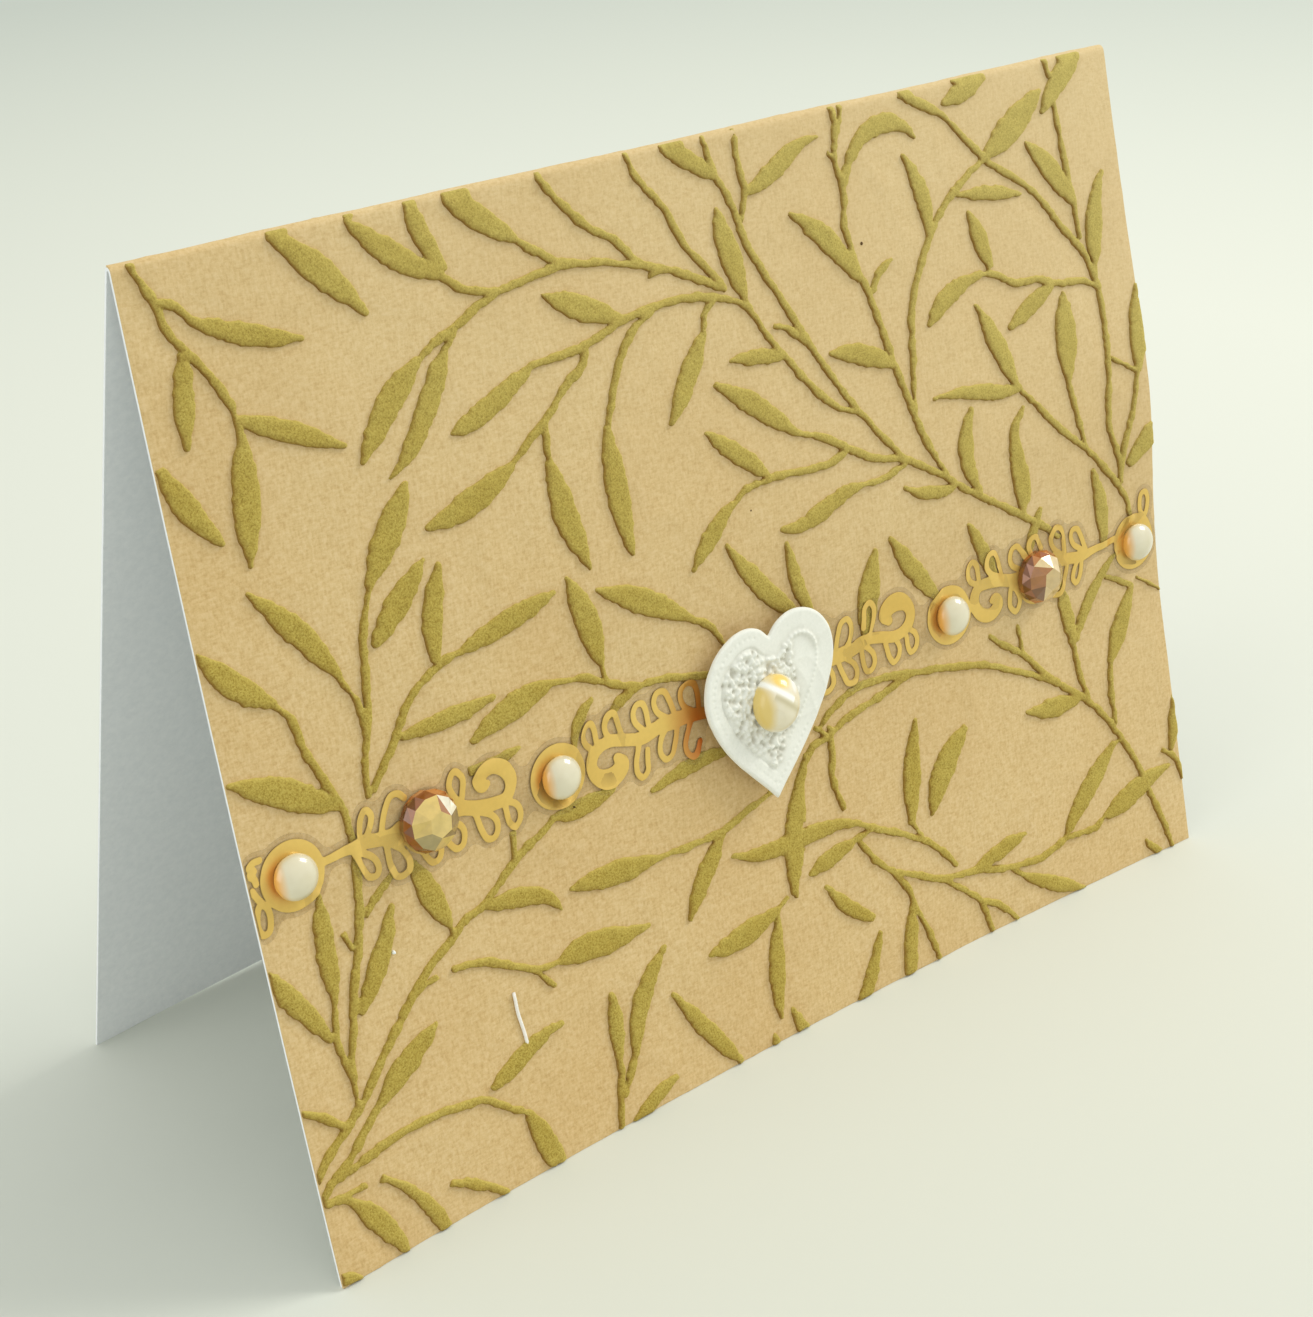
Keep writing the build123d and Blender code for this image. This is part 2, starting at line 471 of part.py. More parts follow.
def fitted(points):
    """Vine points moved to suit the card's size, with any widths kept."""
    return [(x * card_w / drawn_w, y * card_h / drawn_h, *width) for x, y, *width in points]


def vines():
    """All the stems and leaves as one drawing."""
    strokes = [leaf(fitted(points)) for points in leaves]
    strokes += [strand(fitted(points)) for points in broken_leaves]
    strokes += [stem(fitted(points)) for points in stems]
    return Sketch() + strokes


def beside_pad(drawing):
    """A drawing kept clear of the pad under the heart."""
    return drawing - Pos(heart_x, heart_y) * Circle(pad_d / 2 + pad_clear)


def oval(width, length, sides):
    """An oval with straight sides, its corners on the ellipse."""
    turns = [2 * math.pi * (i + 0.5) / sides for i in range(sides)]
    corners = [(width / 2 * math.cos(turn), length / 2 * math.sin(turn)) for turn in turns]
    return Polygon(*corners, align=None)


def ring(x, y, width, length, line):
    outside = oval(width, length, loop_sides)
    return Pos(x, y) * (outside - oval(width - 2 * line, length - 2 * line, loop_sides))


def scroll(slip, amber):
    """The gold of one border length, from its first pearl."""
    shapes = [Pos(i * pearl_pitch, 0) * oval(disc_d, disc_d, disc_sides) for i in range(2)]
    shapes += [Pos(*amber) * oval(amber_d, amber_d, disc_sides)]
    shapes += [Pos(*slip) * ring(*loop, loop_w) for loop in loops]
    shapes += [Pos(*slip) * ring(*curl, curl_w) for curl in curls]
    shapes += [Pos(*slip) * strand(points) for points in backbones]
    return Sketch() + shapes


def film(slip, amber):
    """The clear film that carries the gold, cut a little outside it."""
    more = 2 * film_margin
    disc = oval(disc_d + more, disc_d + more, disc_sides)
    shapes = [Pos(i * pearl_pitch, 0) * disc for i in range(2)]
    shapes += [Pos(*amber) * oval(amber_d + more, amber_d + more, disc_sides)]
    for x, y, width, length in loops + curls:
        shapes += [Pos(*slip) * Pos(x, y) * oval(width + more, length + more, loop_sides)]
    for points in backbones:
        shapes += [Pos(*slip) * strand([(x, y, width + more) for x, y, width in points])]
    return Sketch() + shapes


def heart_outline():
    side = Spline(*[(x * heart_w, y * heart_h) for x, y in heart_half])
    right = [side @ (i / heart_runs) for i in range(heart_runs, -1, -1)]
    left = [(-point.X, point.Y) for point in right[-2:0:-1]]
    return Polygon(*right, *left, align=None)


def heart():
    """A padded paper heart with its middle pressed up."""
    outline = heart_outline()
    body = extrude(outline, heart_t)
    body = chamfer(body.faces().sort_by(Axis.Z)[-1].edges(), heart_edge)
    share = 1 - 2 * emboss_inset / heart_w
    middle = scale(outline, (share, share, 1))
    return body + Pos(0, 0, heart_t) * extrude(middle, emboss_t)


def pearl():
    """Half a pearl, flat underneath."""
    rings = []
    for i in range(pearl_rings):
        turn = math.pi / 2 * i / pearl_rings
        width = pearl_d * math.cos(turn)
        lift = Pos(0, 0, pearl_rise * math.sin(turn))
        rings.append(lift * oval(width, width, pearl_sides))
    return loft(rings, ruled=True)


def stone(width, length, rise):
    """A cut stone: a low wall, sloping facets and a flat top."""
    rings = []
    for share, lift in stone_profile:
        outline = oval(width * share, length * share, stone_sides)
        rings.append(Pos(0, 0, rise * lift) * outline)
    return loft(rings, ruled=True)


def border(side, place, slip, amber, first_pearl):
    """One length of the border with its film, gold, pearls and cut stone."""
    clear = beside_pad(place * film(slip, amber))
    gold = beside_pad(place * scroll(slip, amber))
    save("film_strip_" + side, sheet(clear, flock_top, film_top))
    save("gold_scroll_" + side, sheet(gold, film_top, foil_top))
    for i in range(2):
        x, y, _ = (place * Pos(i * pearl_pitch, 0)).position
        number = str(first_pearl + i)
        save("pearl_" + number, seated(x, y, foil_top + seat_gap, pearl()))
    x, y, _ = (place * Pos(*amber)).position
    cut_stone = stone(amber_d, amber_d, amber_rise)
    save("amber_gem_" + side, seated(x, y, foil_top + seat_gap, cut_stone))


def main():
    save("card_base", card_base())
    whole = Pos(card_w / 2, card_h / 2) * Rectangle(card_w, card_h)
    save("cover_paper", sheet(whole, 0, cover_t))
    save("vine_flock", sheet(beside_pad(vines()), cover_t, flock_top))
    left = Pos(left_in, left_y) * Rot(0, 0, left_turn)
    right = Pos(card_w - right_in, right_y) * Rot(0, 0, right_turn)
    border("left", left, left_slip, left_amber, 1)
    border("right", right, right_slip, right_amber, 3)
    pad_foot = cover_t + seat_gap
    heart_foot = pad_foot + pad_t + seat_gap
    jewel_foot = heart_foot + heart_t + emboss_t + seat_gap
    pad = extrude(Circle(pad_d / 2), pad_t)
    jewel = stone(jewel_w, jewel_h, jewel_rise)
    save("foam_pad", seated(heart_x, heart_y, pad_foot, pad))
    save("heart", seated(heart_x, heart_y, heart_foot, Rot(0, 0, heart_turn) * heart()))
    jewel_place = (heart_x - jewel_left, heart_y + jewel_up)
    save("heart_gem", seated(*jewel_place, jewel_foot, jewel))


def save(name, shape):
    export_step(shape, "parts/" + name + ".step")


if __name__ == "__main__":
    os.makedirs("parts", exist_ok=True)
    main()
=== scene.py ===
import math

import bpy
import numpy as np
from mathutils import Matrix, Vector
from mathutils.geometry import delaunay_2d_cdt


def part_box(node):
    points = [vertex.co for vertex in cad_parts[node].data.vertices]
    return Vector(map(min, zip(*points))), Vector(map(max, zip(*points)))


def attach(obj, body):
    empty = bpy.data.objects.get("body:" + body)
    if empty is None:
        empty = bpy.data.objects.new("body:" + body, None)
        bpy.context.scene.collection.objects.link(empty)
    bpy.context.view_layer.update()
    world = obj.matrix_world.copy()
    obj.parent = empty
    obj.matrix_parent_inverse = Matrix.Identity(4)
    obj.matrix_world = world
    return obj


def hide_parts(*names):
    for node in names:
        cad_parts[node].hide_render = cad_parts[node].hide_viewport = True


# A folded greeting card standing like a tent. Places on its front are (x, y) in mm: x from the
# left edge and y up the panel from its foot. A height is in mm above the white card.

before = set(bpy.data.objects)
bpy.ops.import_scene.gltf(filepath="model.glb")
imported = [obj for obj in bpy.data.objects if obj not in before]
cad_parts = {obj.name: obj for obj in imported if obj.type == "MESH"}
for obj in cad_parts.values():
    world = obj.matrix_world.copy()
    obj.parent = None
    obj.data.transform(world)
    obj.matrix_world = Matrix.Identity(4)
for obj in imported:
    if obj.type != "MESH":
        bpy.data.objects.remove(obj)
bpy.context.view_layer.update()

MM = 0.001
ACROSS = np.array((1.0, 0.0, 0.0))
BACKWARDS = np.array((0.0, 1.0, 0.0))

# How the sheet bends away from flat panels: the front's foot bows back, its left edge bends in,
# its right edge waves from foot to fold, and the back panel bulges
FOOT_BOW = 2.078
LEFT_BEND = -0.838
RIGHT_BEND = (0.0, -0.214, -0.185, 1.554, 0.723, 0.0)
BACK_BOW = 3.8
CARD_T = 0.35

# Unevenness of the paper, in octaves of (bump size, height, seed)
RIPPLES = ((17.0, 0.12, 1), (6.5, 0.06, 2), (2.6, 0.03, 3))
BACK_RIPPLE_SHARE = 0.15
CREASES = ((11.0, 0.09, 4), (7.0, 0.07, 5))
PAPER_GRAIN = ((0.9, 0.022, 6),)
FOLD_WRAP = 1.25

# Raised vines: how their outline and their top wander, and their section as depths in from the
# rim and the heights there, and lower heights where the sheet's edge or the film cuts them.
# A bridge is a long leaf, as (x, y, width), under one that crosses it
VINE_WOBBLE = ((1.2, 0.11, 7), (0.55, 0.13, 8))
VINE_GRAIN = ((0.5, 0.07, 9), (0.9, 0.05, 10))
VINE_SECTION = ((0.0, 0.05, 0.14, 0.35, 1.0), (0.0, 0.24, 0.35, 0.40, 0.43))
VINE_CUT_EDGE = 0.2
VINE_SUNK = 0.02
VINE_UNDER_FILM = 0.26
VINE_OVER = 0.6
VINE_CORNER_DEG = 38
VINE_BRIDGES = (
    ((73.2, 30.0, 1.7), (72.05, 27.2, 2.6), (71.2, 24.6, 2.6), (70.6, 22.0, 2.2), (70.1, 19.2, 1.5),
     (69.86, 17.6, 0.5)),
)

# Gold stickers, in places along and across them from the middle of the first disc. Pearls and
# stones are sunk a little into the draped film
LINE_W = 0.78
FILM_MARGIN = 0.62
FILM_CLOSING = 1.7
FILM_T = 0.05
FILM_LIFT = 0.05
DRAPE_FROM = 0.75
DRAPE_W = 1.1
GOLD_T = 0.07
SUNK = 0.2
DISC_R = 3.8
PEARL_R = 2.5
AMBER_R = 3.5
AMBER_SEAT_R = 3.3
AMBER_NUDGE = 0.45
STRIP_LOW = (-9.0, -9.0)
STRIP_HIGH = (63.0, 9.0)
FILM_ENDS = (-7.0, 60.0)
FILM_HALF_W = 6.2
SIDES = {
    "left": {"pearls": ("pearl_1", "pearl_2"), "slip": (0.0, 0.0), "turn": 0.0,
             "nudge": (-0.15, 0.3), "seed": 31},
    "right": {"pearls": ("pearl_3", "pearl_4"), "slip": (1.75, -1.35), "turn": -0.015,
              "nudge": (-0.7, 0.4), "seed": 37},
}


def vertices(node):
    """A node's points in mm."""
    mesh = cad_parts[node].data
    flat = np.zeros(len(mesh.vertices) * 3, np.float32)
    mesh.vertices.foreach_get("co", flat)
    return flat.reshape(-1, 3).astype(float) / MM


def panel_frame():
    """The front panel from the cover paper: its foot corner, the ways up and out, and its sizes."""
    points = vertices("cover_paper")
    section = np.unique(np.round(points[:, 1:], 4), axis=0)
    foot = section[section[:, 1].argmin()]
    crest = section[section[:, 1].argmax()]
    apart = np.linalg.norm(section - foot, axis=1)
    apart[apart < 0.1] = apart.max()
    outer_foot = section[apart.argmin()]
    height = float(np.linalg.norm(crest - outer_foot))
    up = np.array((0.0, *(crest - outer_foot) / height))
    out = np.array((0.0, -up[2], up[1]))
    thickness = float(np.linalg.norm(outer_foot - foot))
    corner = np.array((points[:, 0].min(), *foot))
    return corner, up, out, float(np.ptp(points[:, 0])), height, thickness


CORNER, UP, OUT, CARD_W, CARD_H, COVER_T = panel_frame()
LEAN = math.asin(UP[1])
CREST_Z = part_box("card_base")[1].z / MM
FOLD_R = (CREST_Z - CORNER[2] - CARD_H * math.cos(LEAN)) / (1 - math.sin(LEAN))


def value_noise(x, y, size, seed):
    """Smooth random values from -1 to 1, a bump every size mm."""
    count = 256
    lattice = np.random.default_rng(seed).uniform(-1, 1, (count, count))
    px = np.asarray(x, float) / size + 40.0
    py = np.asarray(y, float) / size + 40.0
    i = np.floor(px).astype(int)
    j = np.floor(py).astype(int)
    fx = px - i
    fy = py - j
    fx = fx * fx * (3 - 2 * fx)
    fy = fy * fy * (3 - 2 * fy)
    a = lattice[j % count, i % count]
    b = lattice[j % count, (i + 1) % count]
    c = lattice[(j + 1) % count, i % count]
    d = lattice[(j + 1) % count, (i + 1) % count]
    return (a * (1 - fx) + b * fx) * (1 - fy) + (c * (1 - fx) + d * fx) * fy


def layers(x, y, octaves):
    return sum(height * value_noise(x, y, size, seed) for size, height, seed in octaves)


def ripple(x, y):
    """The paper's unevenness: soft waves and a few sharper creases."""
    creases = 0.0
    for size, height, seed in CREASES:
        line = 1 - np.abs(value_noise(x + 0.4 * y, y - 0.3 * x, size, seed))
        creases = creases + height * line**9
    return layers(x, y, RIPPLES) + creases


def eased(at, values):
    """A smooth curve through values given at even places from 0 to 1."""
    values = np.asarray(values, float)
    last = len(values) - 1
    spot = np.clip(np.asarray(at, float), 0, 1) * last
    k = np.clip(np.floor(spot).astype(int), 0, last - 1)
    t = spot - k
    p0 = values[np.maximum(k - 1, 0)]
    p1 = values[k]
    p2 = values[k + 1]
    p3 = values[np.minimum(k + 2, last)]
    return 0.5 * (2 * p1 + (p2 - p0) * t + (2 * p0 - 5 * p1 + 4 * p2 - p3) * t**2
                  + (3 * p1 - p0 - 3 * p2 + p3) * t**3)


def place(x, y, height):
    """Points on the bent front, in mm, for arrays of places and heights."""
    x, y, height = np.broadcast_arrays(*(np.asarray(a, float) for a in (x, y, height)))
    past_fold = np.maximum(y - CARD_H, 0.0)
    y = np.minimum(y, CARD_H)
    u = x / CARD_W
    v = y / CARD_H
    bend = LEFT_BEND * 4 * v * (1 - v) * (1 - u) + u * eased(v, RIGHT_BEND)
    lift = height + bend + ripple(x, y) * np.clip(height / COVER_T, 0, 1)
    bow = FOOT_BOW * 4 * u * (1 - u) * (1 - v)
    turn = past_fold / (FOLD_R + COVER_T)
    way = np.multiply.outer(np.cos(turn), OUT) + np.multiply.outer(np.sin(turn), UP)
    points = CORNER + np.multiply.outer(x, ACROSS) + np.multiply.outer(y, UP) - FOLD_R * OUT
    return points + (FOLD_R + lift)[..., None] * way + np.multiply.outer(bow, BACKWARDS)


def beyond_edge(x, y, over=0.0):
    """How far places lie outside the front, negative within it; over widens it past the fold."""
    return np.maximum(np.maximum(-x, x - CARD_W), np.maximum(-y, y - CARD_H - over))


def seat(x, y, height):
    """The point and the three directions of a small rigid piece set on the bent front."""
    reach = 2.0
    across = place(x + reach, y, height) - place(x - reach, y, height)
    up = place(x, y + reach, height) - place(x, y - reach, height)
    across /= np.linalg.norm(across)
    out = np.cross(across, up / np.linalg.norm(up))
    out /= np.linalg.norm(out)
    point = (place(x - reach, y, height) + place(x + reach, y, height)
             + place(x, y - reach, height) + place(x, y + reach, height)) / 4
    return point, across, np.cross(out, across), out


def panel_place(points):
    """(x, y) places and heights of points given in mm."""
    away = np.asarray(points, float) - CORNER
    return away @ ACROSS, away @ UP, away @ OUT


def node_place(node):
    """The place of a node's middle, and its lowest height."""
    x, y, height = panel_place(vertices(node))
    return (x.min() + x.max()) / 2, (y.min() + y.max()) / 2, height.min()


def node_rise(node):
    """How thick a node is, measured away from the front."""
    return np.ptp(panel_place(vertices(node))[2])


def build(name, points, faces, node_names, smooth=True, sharp_deg=None):
    """A mesh piece from points in mm, riding on the card and standing for its nodes."""
    mesh = bpy.data.meshes.new(name)
    mesh.from_pydata((np.asarray(points, float) * MM).tolist(), [], faces)
    mesh.validate()
    mesh.update()
    piece = bpy.data.objects.new(name, mesh)
    bpy.context.scene.collection.objects.link(piece)
    mesh.polygons.foreach_set("use_smooth", [smooth] * len(mesh.polygons))
    if sharp_deg is not None:
        mesh.set_sharp_from_angle(angle=math.radians(sharp_deg))
    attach(piece, "root")
    if node_names:
        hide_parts(*node_names)
    return piece


def set_shares(piece, name, values):
    """Keep a share from 0 to 1 for each vertex, for the material to read."""
    attribute = piece.data.attributes.new(name, "FLOAT", "POINT")
    attribute.data.foreach_set("value", np.asarray(values, np.float32))


# Outlines and distance fields


class Field:
    """Signed distances to an outline on a grid, in mm, negative inside."""

    def __init__(self, low, high, step, reach):
        self.low = np.array(low, float)
        self.step = step
        self.reach = reach
        self.nx = int(math.ceil((high[0] - low[0]) / step)) + 1
        self.ny = int(math.ceil((high[1] - low[1]) / step)) + 1
        self.xs = low[0] + step * np.arange(self.nx)
        self.ys = low[1] + step * np.arange(self.ny)
        self.values = np.full((self.ny, self.nx), float(reach))

    def window(self, low, high):
        i0 = max(int((low[0] - self.low[0]) / self.step), 0)
        j0 = max(int((low[1] - self.low[1]) / self.step), 0)
        i1 = min(int((high[0] - self.low[0]) / self.step) + 2, self.nx)
        j1 = min(int((high[1] - self.low[1]) / self.step) + 2, self.ny)
        return slice(j0, j1), slice(i0, i1)

    def segment(self, a, b, half_a, half_b):
        """Take in a round-ended stroke from a to b with these half widths."""
        margin = self.reach + max(half_a, half_b)
        rows, columns = self.window(np.minimum(a, b) - margin, np.maximum(a, b) + margin)
        if rows.start >= rows.stop or columns.start >= columns.stop:
            return
        x = self.xs[columns][None, :] - a[0]
        y = self.ys[rows][:, None] - a[1]
        dx, dy = b[0] - a[0], b[1] - a[1]
        along = np.clip((x * dx + y * dy) / max(dx * dx + dy * dy, 1e-12), 0, 1)
        apart = np.hypot(x - along * dx, y - along * dy) - (half_a + along * (half_b - half_a))
        part = self.values[rows, columns]
        np.minimum(part, apart, out=part)

    def stroke(self, points):
        """Take in a curve given as x, y and width at each point."""
        for a, b in zip(points[:-1], points[1:]):
            self.segment(a[:2], b[:2], a[2] / 2, b[2] / 2)

    def loops(self, loops):
        """Take in closed outlines: distances to them, negative where they enclose."""
        flips = np.zeros((self.ny, self.nx + 1), bool)
        for loop in loops:
            for a, b in zip(loop, np.roll(loop, -1, axis=0)):
                self.segment(a, b, 0.0, 0.0)
                low, high = sorted((a[1], b[1]))
                j0 = max(int(math.ceil((low - self.low[1]) / self.step)), 0)
                j1 = min(int(math.ceil((high - self.low[1]) / self.step)), self.ny)
                if j0 >= j1:
                    continue
                rows = np.arange(j0, j1)
                x = a[0] + (self.ys[rows] - a[1]) * (b[0] - a[0]) / (b[1] - a[1])
                columns = np.ceil((x - self.low[0]) / self.step).astype(int)
                flips[rows, np.clip(columns, 0, self.nx)] ^= True
        inside = np.logical_xor.accumulate(flips, axis=1)[:, : self.nx]
        self.values[inside] *= -1

    def keep_within(self, outside_by):
        """Cut away what lies outside another shape, given its distances on this grid."""
        self.values = np.maximum(self.values, outside_by)

    def at(self, x, y):
        px = np.clip((np.asarray(x) - self.low[0]) / self.step, 0, self.nx - 1.001)
        py = np.clip((np.asarray(y) - self.low[1]) / self.step, 0, self.ny - 1.001)
        i = px.astype(int)
        j = py.astype(int)
        fx = px - i
        fy = py - j
        v = self.values
        return ((v[j, i] * (1 - fx) + v[j, i + 1] * fx) * (1 - fy)
                + (v[j + 1, i] * (1 - fx) + v[j + 1, i + 1] * fx) * fy)

    def contours(self, level):
        """Closed lines where the distance is level, with lower values on their left."""
        v = self.values - level
        v[np.abs(v) < 1e-7] = 1e-7
        v[0, :] = v[-1, :] = self.reach
        v[:, 0] = v[:, -1] = self.reach
        low = v < 0
        case = low[:-1, :-1] * 1 + low[:-1, 1:] * 2 + low[1:, 1:] * 4 + low[1:, :-1] * 8
        crossed = np.argwhere((case > 0) & (case < 15))
        follows = {}
        for j, i in crossed.tolist():
            sides = ((j, i, 0), (j, i + 1, 1), (j + 1, i, 0), (j, i, 1))
            for start, end in CELL_LINES[int(case[j, i])]:
                follows[sides[start]] = sides[end]
        loops = []
        while follows:
            first, here = follows.popitem()
            chain = [first]
            while here != first:
                chain.append(here)
                here = follows.pop(here)
            loops.append(np.array([self.crossing(v, *side) for side in chain]))
        return loops

    def crossing(self, v, j, i, upright):
        if upright:
            share = v[j, i] / (v[j, i] - v[j + 1, i])
            return self.xs[i], self.ys[j] + share * self.step
        share = v[j, i] / (v[j, i] - v[j, i + 1])
        return self.xs[i] + share * self.step, self.ys[j]


# Lines across a grid cell by which of its corners are inside: pairs of its sides, 0 the lowest
CELL_LINES = {
    1: ((0, 3),), 2: ((1, 0),), 3: ((1, 3),), 4: ((2, 1),), 5: ((0, 3), (2, 1)),
    6: ((2, 0),), 7: ((2, 3),), 8: ((3, 2),), 9: ((0, 2),), 10: ((1, 0), (3, 2)),
    11: ((1, 2),), 12: ((3, 1),), 13: ((0, 1),), 14: ((3, 0),),
}


def evenly(loop, spacing, rounds=1):
    """A closed line smoothed a little and resampled at an even spacing."""
    for _ in range(rounds):
        loop = (np.roll(loop, 1, axis=0) + 2 * loop + np.roll(loop, -1, axis=0)) / 4
    closed = np.vstack((loop, loop[:1]))
    steps = np.linalg.norm(np.diff(closed, axis=0), axis=1)
    run = np.concatenate(((0.0,), np.cumsum(steps)))
    count = max(int(round(run[-1] / spacing)), 8)
    marks = np.linspace(0, run[-1], count, endpoint=False)
    return np.column_stack([np.interp(marks, run, closed[:, k]) for k in range(2)])


def between(t, low, high, a, b):
    """The value at t on the line through a at low and b at high."""
    return (high - t) / (high - low) * a + (t - low) / (high - low) * b


def curve_through(points, spacing, closed=False):
    """A smooth line through points of any dimension, resampled at about this spacing."""
    points = np.asarray(points, float)
    if closed:
        padded = np.vstack((points[-1:], points, points[:2]))
    else:
        first = 2 * points[0] - points[1]
        last = 2 * points[-1] - points[-2]
        padded = np.vstack((first, points, last))
    made = []
    for p0, p1, p2, p3 in zip(padded[:-3], padded[1:-2], padded[2:-1], padded[3:]):
        knots = [0.0]
        for a, b in ((p0, p1), (p1, p2), (p2, p3)):
            knots.append(knots[-1] + max(np.linalg.norm((b - a)[:2]), 1e-6) ** 0.5)
        t0, t1, t2, t3 = knots
        count = max(int(round(np.linalg.norm((p2 - p1)[:2]) / spacing)), 1)
        t = (t1 + (t2 - t1) * np.arange(count) / count)[:, None]
        a1 = between(t, t0, t1, p0, p1)
        a2 = between(t, t1, t2, p1, p2)
        a3 = between(t, t2, t3, p2, p3)
        made.append(between(t, t1, t2, between(t, t0, t2, a1, a2), between(t, t1, t3, a2, a3)))
    if not closed:
        made.append(points[-1:])
    return np.vstack(made)


def node_outlines(node, height):
    """Closed outlines of a node's faces that lie flat at a height above the card."""
    points = vertices(node)
    x, y, h = panel_place(points)
    merged = {}
    names = [merged.setdefault(tuple(point), len(merged)) for point in points.tolist()]
    spot = dict(zip(names, zip(x, y)))
    rings = []
    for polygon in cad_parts[node].data.polygons:
        corners = list(polygon.vertices)
        if max(abs(h[k] - height) for k in corners) <= 0.01:
            rings.append([names[k] for k in corners])
    return [np.array([spot[name] for name in chain]) for chain in rim_chains(rings)]


def rounded(loop, spacing, corner_deg):
    """An outline made smooth except at its sharp corners."""
    before = loop - np.roll(loop, 1, axis=0)
    after = np.roll(loop, -1, axis=0) - loop
    turn = np.degrees(np.abs(np.arctan2(before[:, 0] * after[:, 1] - before[:, 1] * after[:, 0],
                                        (before * after).sum(axis=1))))
    corners = np.flatnonzero(turn > corner_deg)
    if len(corners) == 0:
        return curve_through(loop, spacing, closed=True)
    loop = np.roll(loop, -corners[0], axis=0)
    corners = list(corners - corners[0]) + [len(loop)]
    closed = np.vstack((loop, loop[:1]))
    runs = []
    for start, end in zip(corners[:-1], corners[1:]):
        runs.append(curve_through(closed[start:end + 1], spacing)[:-1])
    return np.vstack(runs)


def triangulate(rims, inner_lines, scattered):
    """Triangles of the area left of the rims, with lines and single points inside it."""
    points = []
    edges = []
    for loop in list(rims) + list(inner_lines):
        start = len(points)
        points.extend(map(Vector, loop.tolist()))
        count = len(loop)
        edges.extend((start + k, start + (k + 1) % count) for k in range(count))
    rim_edges = sum(len(loop) for loop in rims)
    points.extend(map(Vector, scattered.tolist()))
    found, found_edges, faces, _, edge_from, _ = delaunay_2d_cdt(points, edges, [], 0, 1e-5)
    places = np.array([tuple(p) for p in found])
    barrier = {}
    for (a, b), sources in zip(found_edges, edge_from):
        for source in sources:
            if source < rim_edges:
                start, end = edges[source]
                way = Vector(points[end]) - Vector(points[start])
                forward = (found[b] - found[a]).dot(way) > 0
                barrier[(a, b) if forward else (b, a)] = True
                break
    owner = {}
    for k, face in enumerate(faces):
        for a, b in zip(face, face[1:] + face[:1]):
            owner[(a, b)] = k
    inside = [None] * len(faces)
    waiting = []
    for a, b in barrier:
        for edge, state in (((a, b), True), ((b, a), False)):
            k = owner.get(edge)
            if k is not None and inside[k] is None:
                inside[k] = state
                waiting.append(k)
    while waiting:
        k = waiting.pop()
        face = faces[k]
        for a, b in zip(face, face[1:] + face[:1]):
            if (a, b) in barrier or (b, a) in barrier:
                continue
            other = owner.get((b, a))
            if other is not None and inside[other] is None:
                inside[other] = inside[k]
                waiting.append(other)
    kept = [tuple(face) for face, state in zip(faces, inside) if state]
    used = sorted({k for face in kept for k in face})
    renamed = {k: n for n, k in enumerate(used)}
    return places[used], [tuple(renamed[k] for k in face) for face in kept]


def rim_chains(faces):
    """Closed chains of the edges that belong to one face only."""
    edges = {(a, b) for face in faces for a, b in zip(face, face[1:] + face[:1])}
    follows = {}
    for a, b in edges:
        if (b, a) not in edges:
            follows.setdefault(a, []).append(b)
    chains = []
    while follows:
        start = next(iter(follows))
        chain = [start]
        while True:
            after = follows[chain[-1]].pop()
            if not follows[chain[-1]]:
                del follows[chain[-1]]
            if after == start:
                break
            chain.append(after)
        chains.append(chain)
    return chains


def scatter(field, spacing, level):
    """Points in a triangular pattern where the distance is below level."""
    rows = np.arange(field.ys[0], field.ys[-1], spacing * 0.866)
    made = []
    for k, y in enumerate(rows):
        x = np.arange(field.xs[0] + (k % 2) * spacing / 2, field.xs[-1], spacing)
        made.append(np.column_stack((x, np.full(len(x), y))))
    points = np.vstack(made)
    return points[field.at(points[:, 0], points[:, 1]) < level]


def shell(field, top, bottom, levels, spacing, inner_spacing, to_front=None):
    """A closed layer over the inside of a field: its points, faces and depths from the rim.

    top(x, y, depth) and bottom give heights. Rows of points run along the distances in levels,
    the first being the rim, and to_front turns field places into places on the front.
    """
    shortest = 12
    rims, *lines = [[evenly(loop, spacing) for loop in field.contours(level) if len(loop) > shortest]
                    for level in levels]
    inner = scatter(field, inner_spacing, levels[-1] - 0.5 * inner_spacing)
    places, faces = triangulate(rims, [line for group in lines for line in group], inner)
    depth = np.maximum(levels[0] - field.at(places[:, 0], places[:, 1]), 0.0)
    chains = rim_chains(faces)
    for chain in chains:
        depth[chain] = 0.0
    rim = [k for chain in chains for k in chain]
    under_name = {k: len(places) + n for n, k in enumerate(rim)}
    x, y = places.T if to_front is None else to_front(places).T
    above = place(x, y, top(x, y, depth))
    below = place(x[rim], y[rim], bottom(x[rim], y[rim]))
    points = np.vstack((above, below))
    for chain in chains:
        for a, b in zip(chain, chain[1:] + chain[:1]):
            faces.append((b, a, under_name[a], under_name[b]))
    base_loops = [places[chain] for chain in chains]
    base_places, base_faces = triangulate(base_loops, [], np.zeros((0, 2)))
    ordered = {tuple(np.round(places[k], 4)): under_name[k] for k in rim}
    names = []
    for spot in base_places:
        key = tuple(np.round(spot, 4))
        if key not in ordered:
            nearest = rim[int(np.linalg.norm(places[rim] - spot, axis=1).argmin())]
            ordered[key] = under_name[nearest]
        names.append(ordered[key])
    for face in base_faces:
        corners = [names[k] for k in reversed(face)]
        if len(set(corners)) > 2:
            faces.append(tuple(corners))
    depth = np.concatenate((depth, np.zeros(len(rim))))
    return points, faces, depth


# Pieces


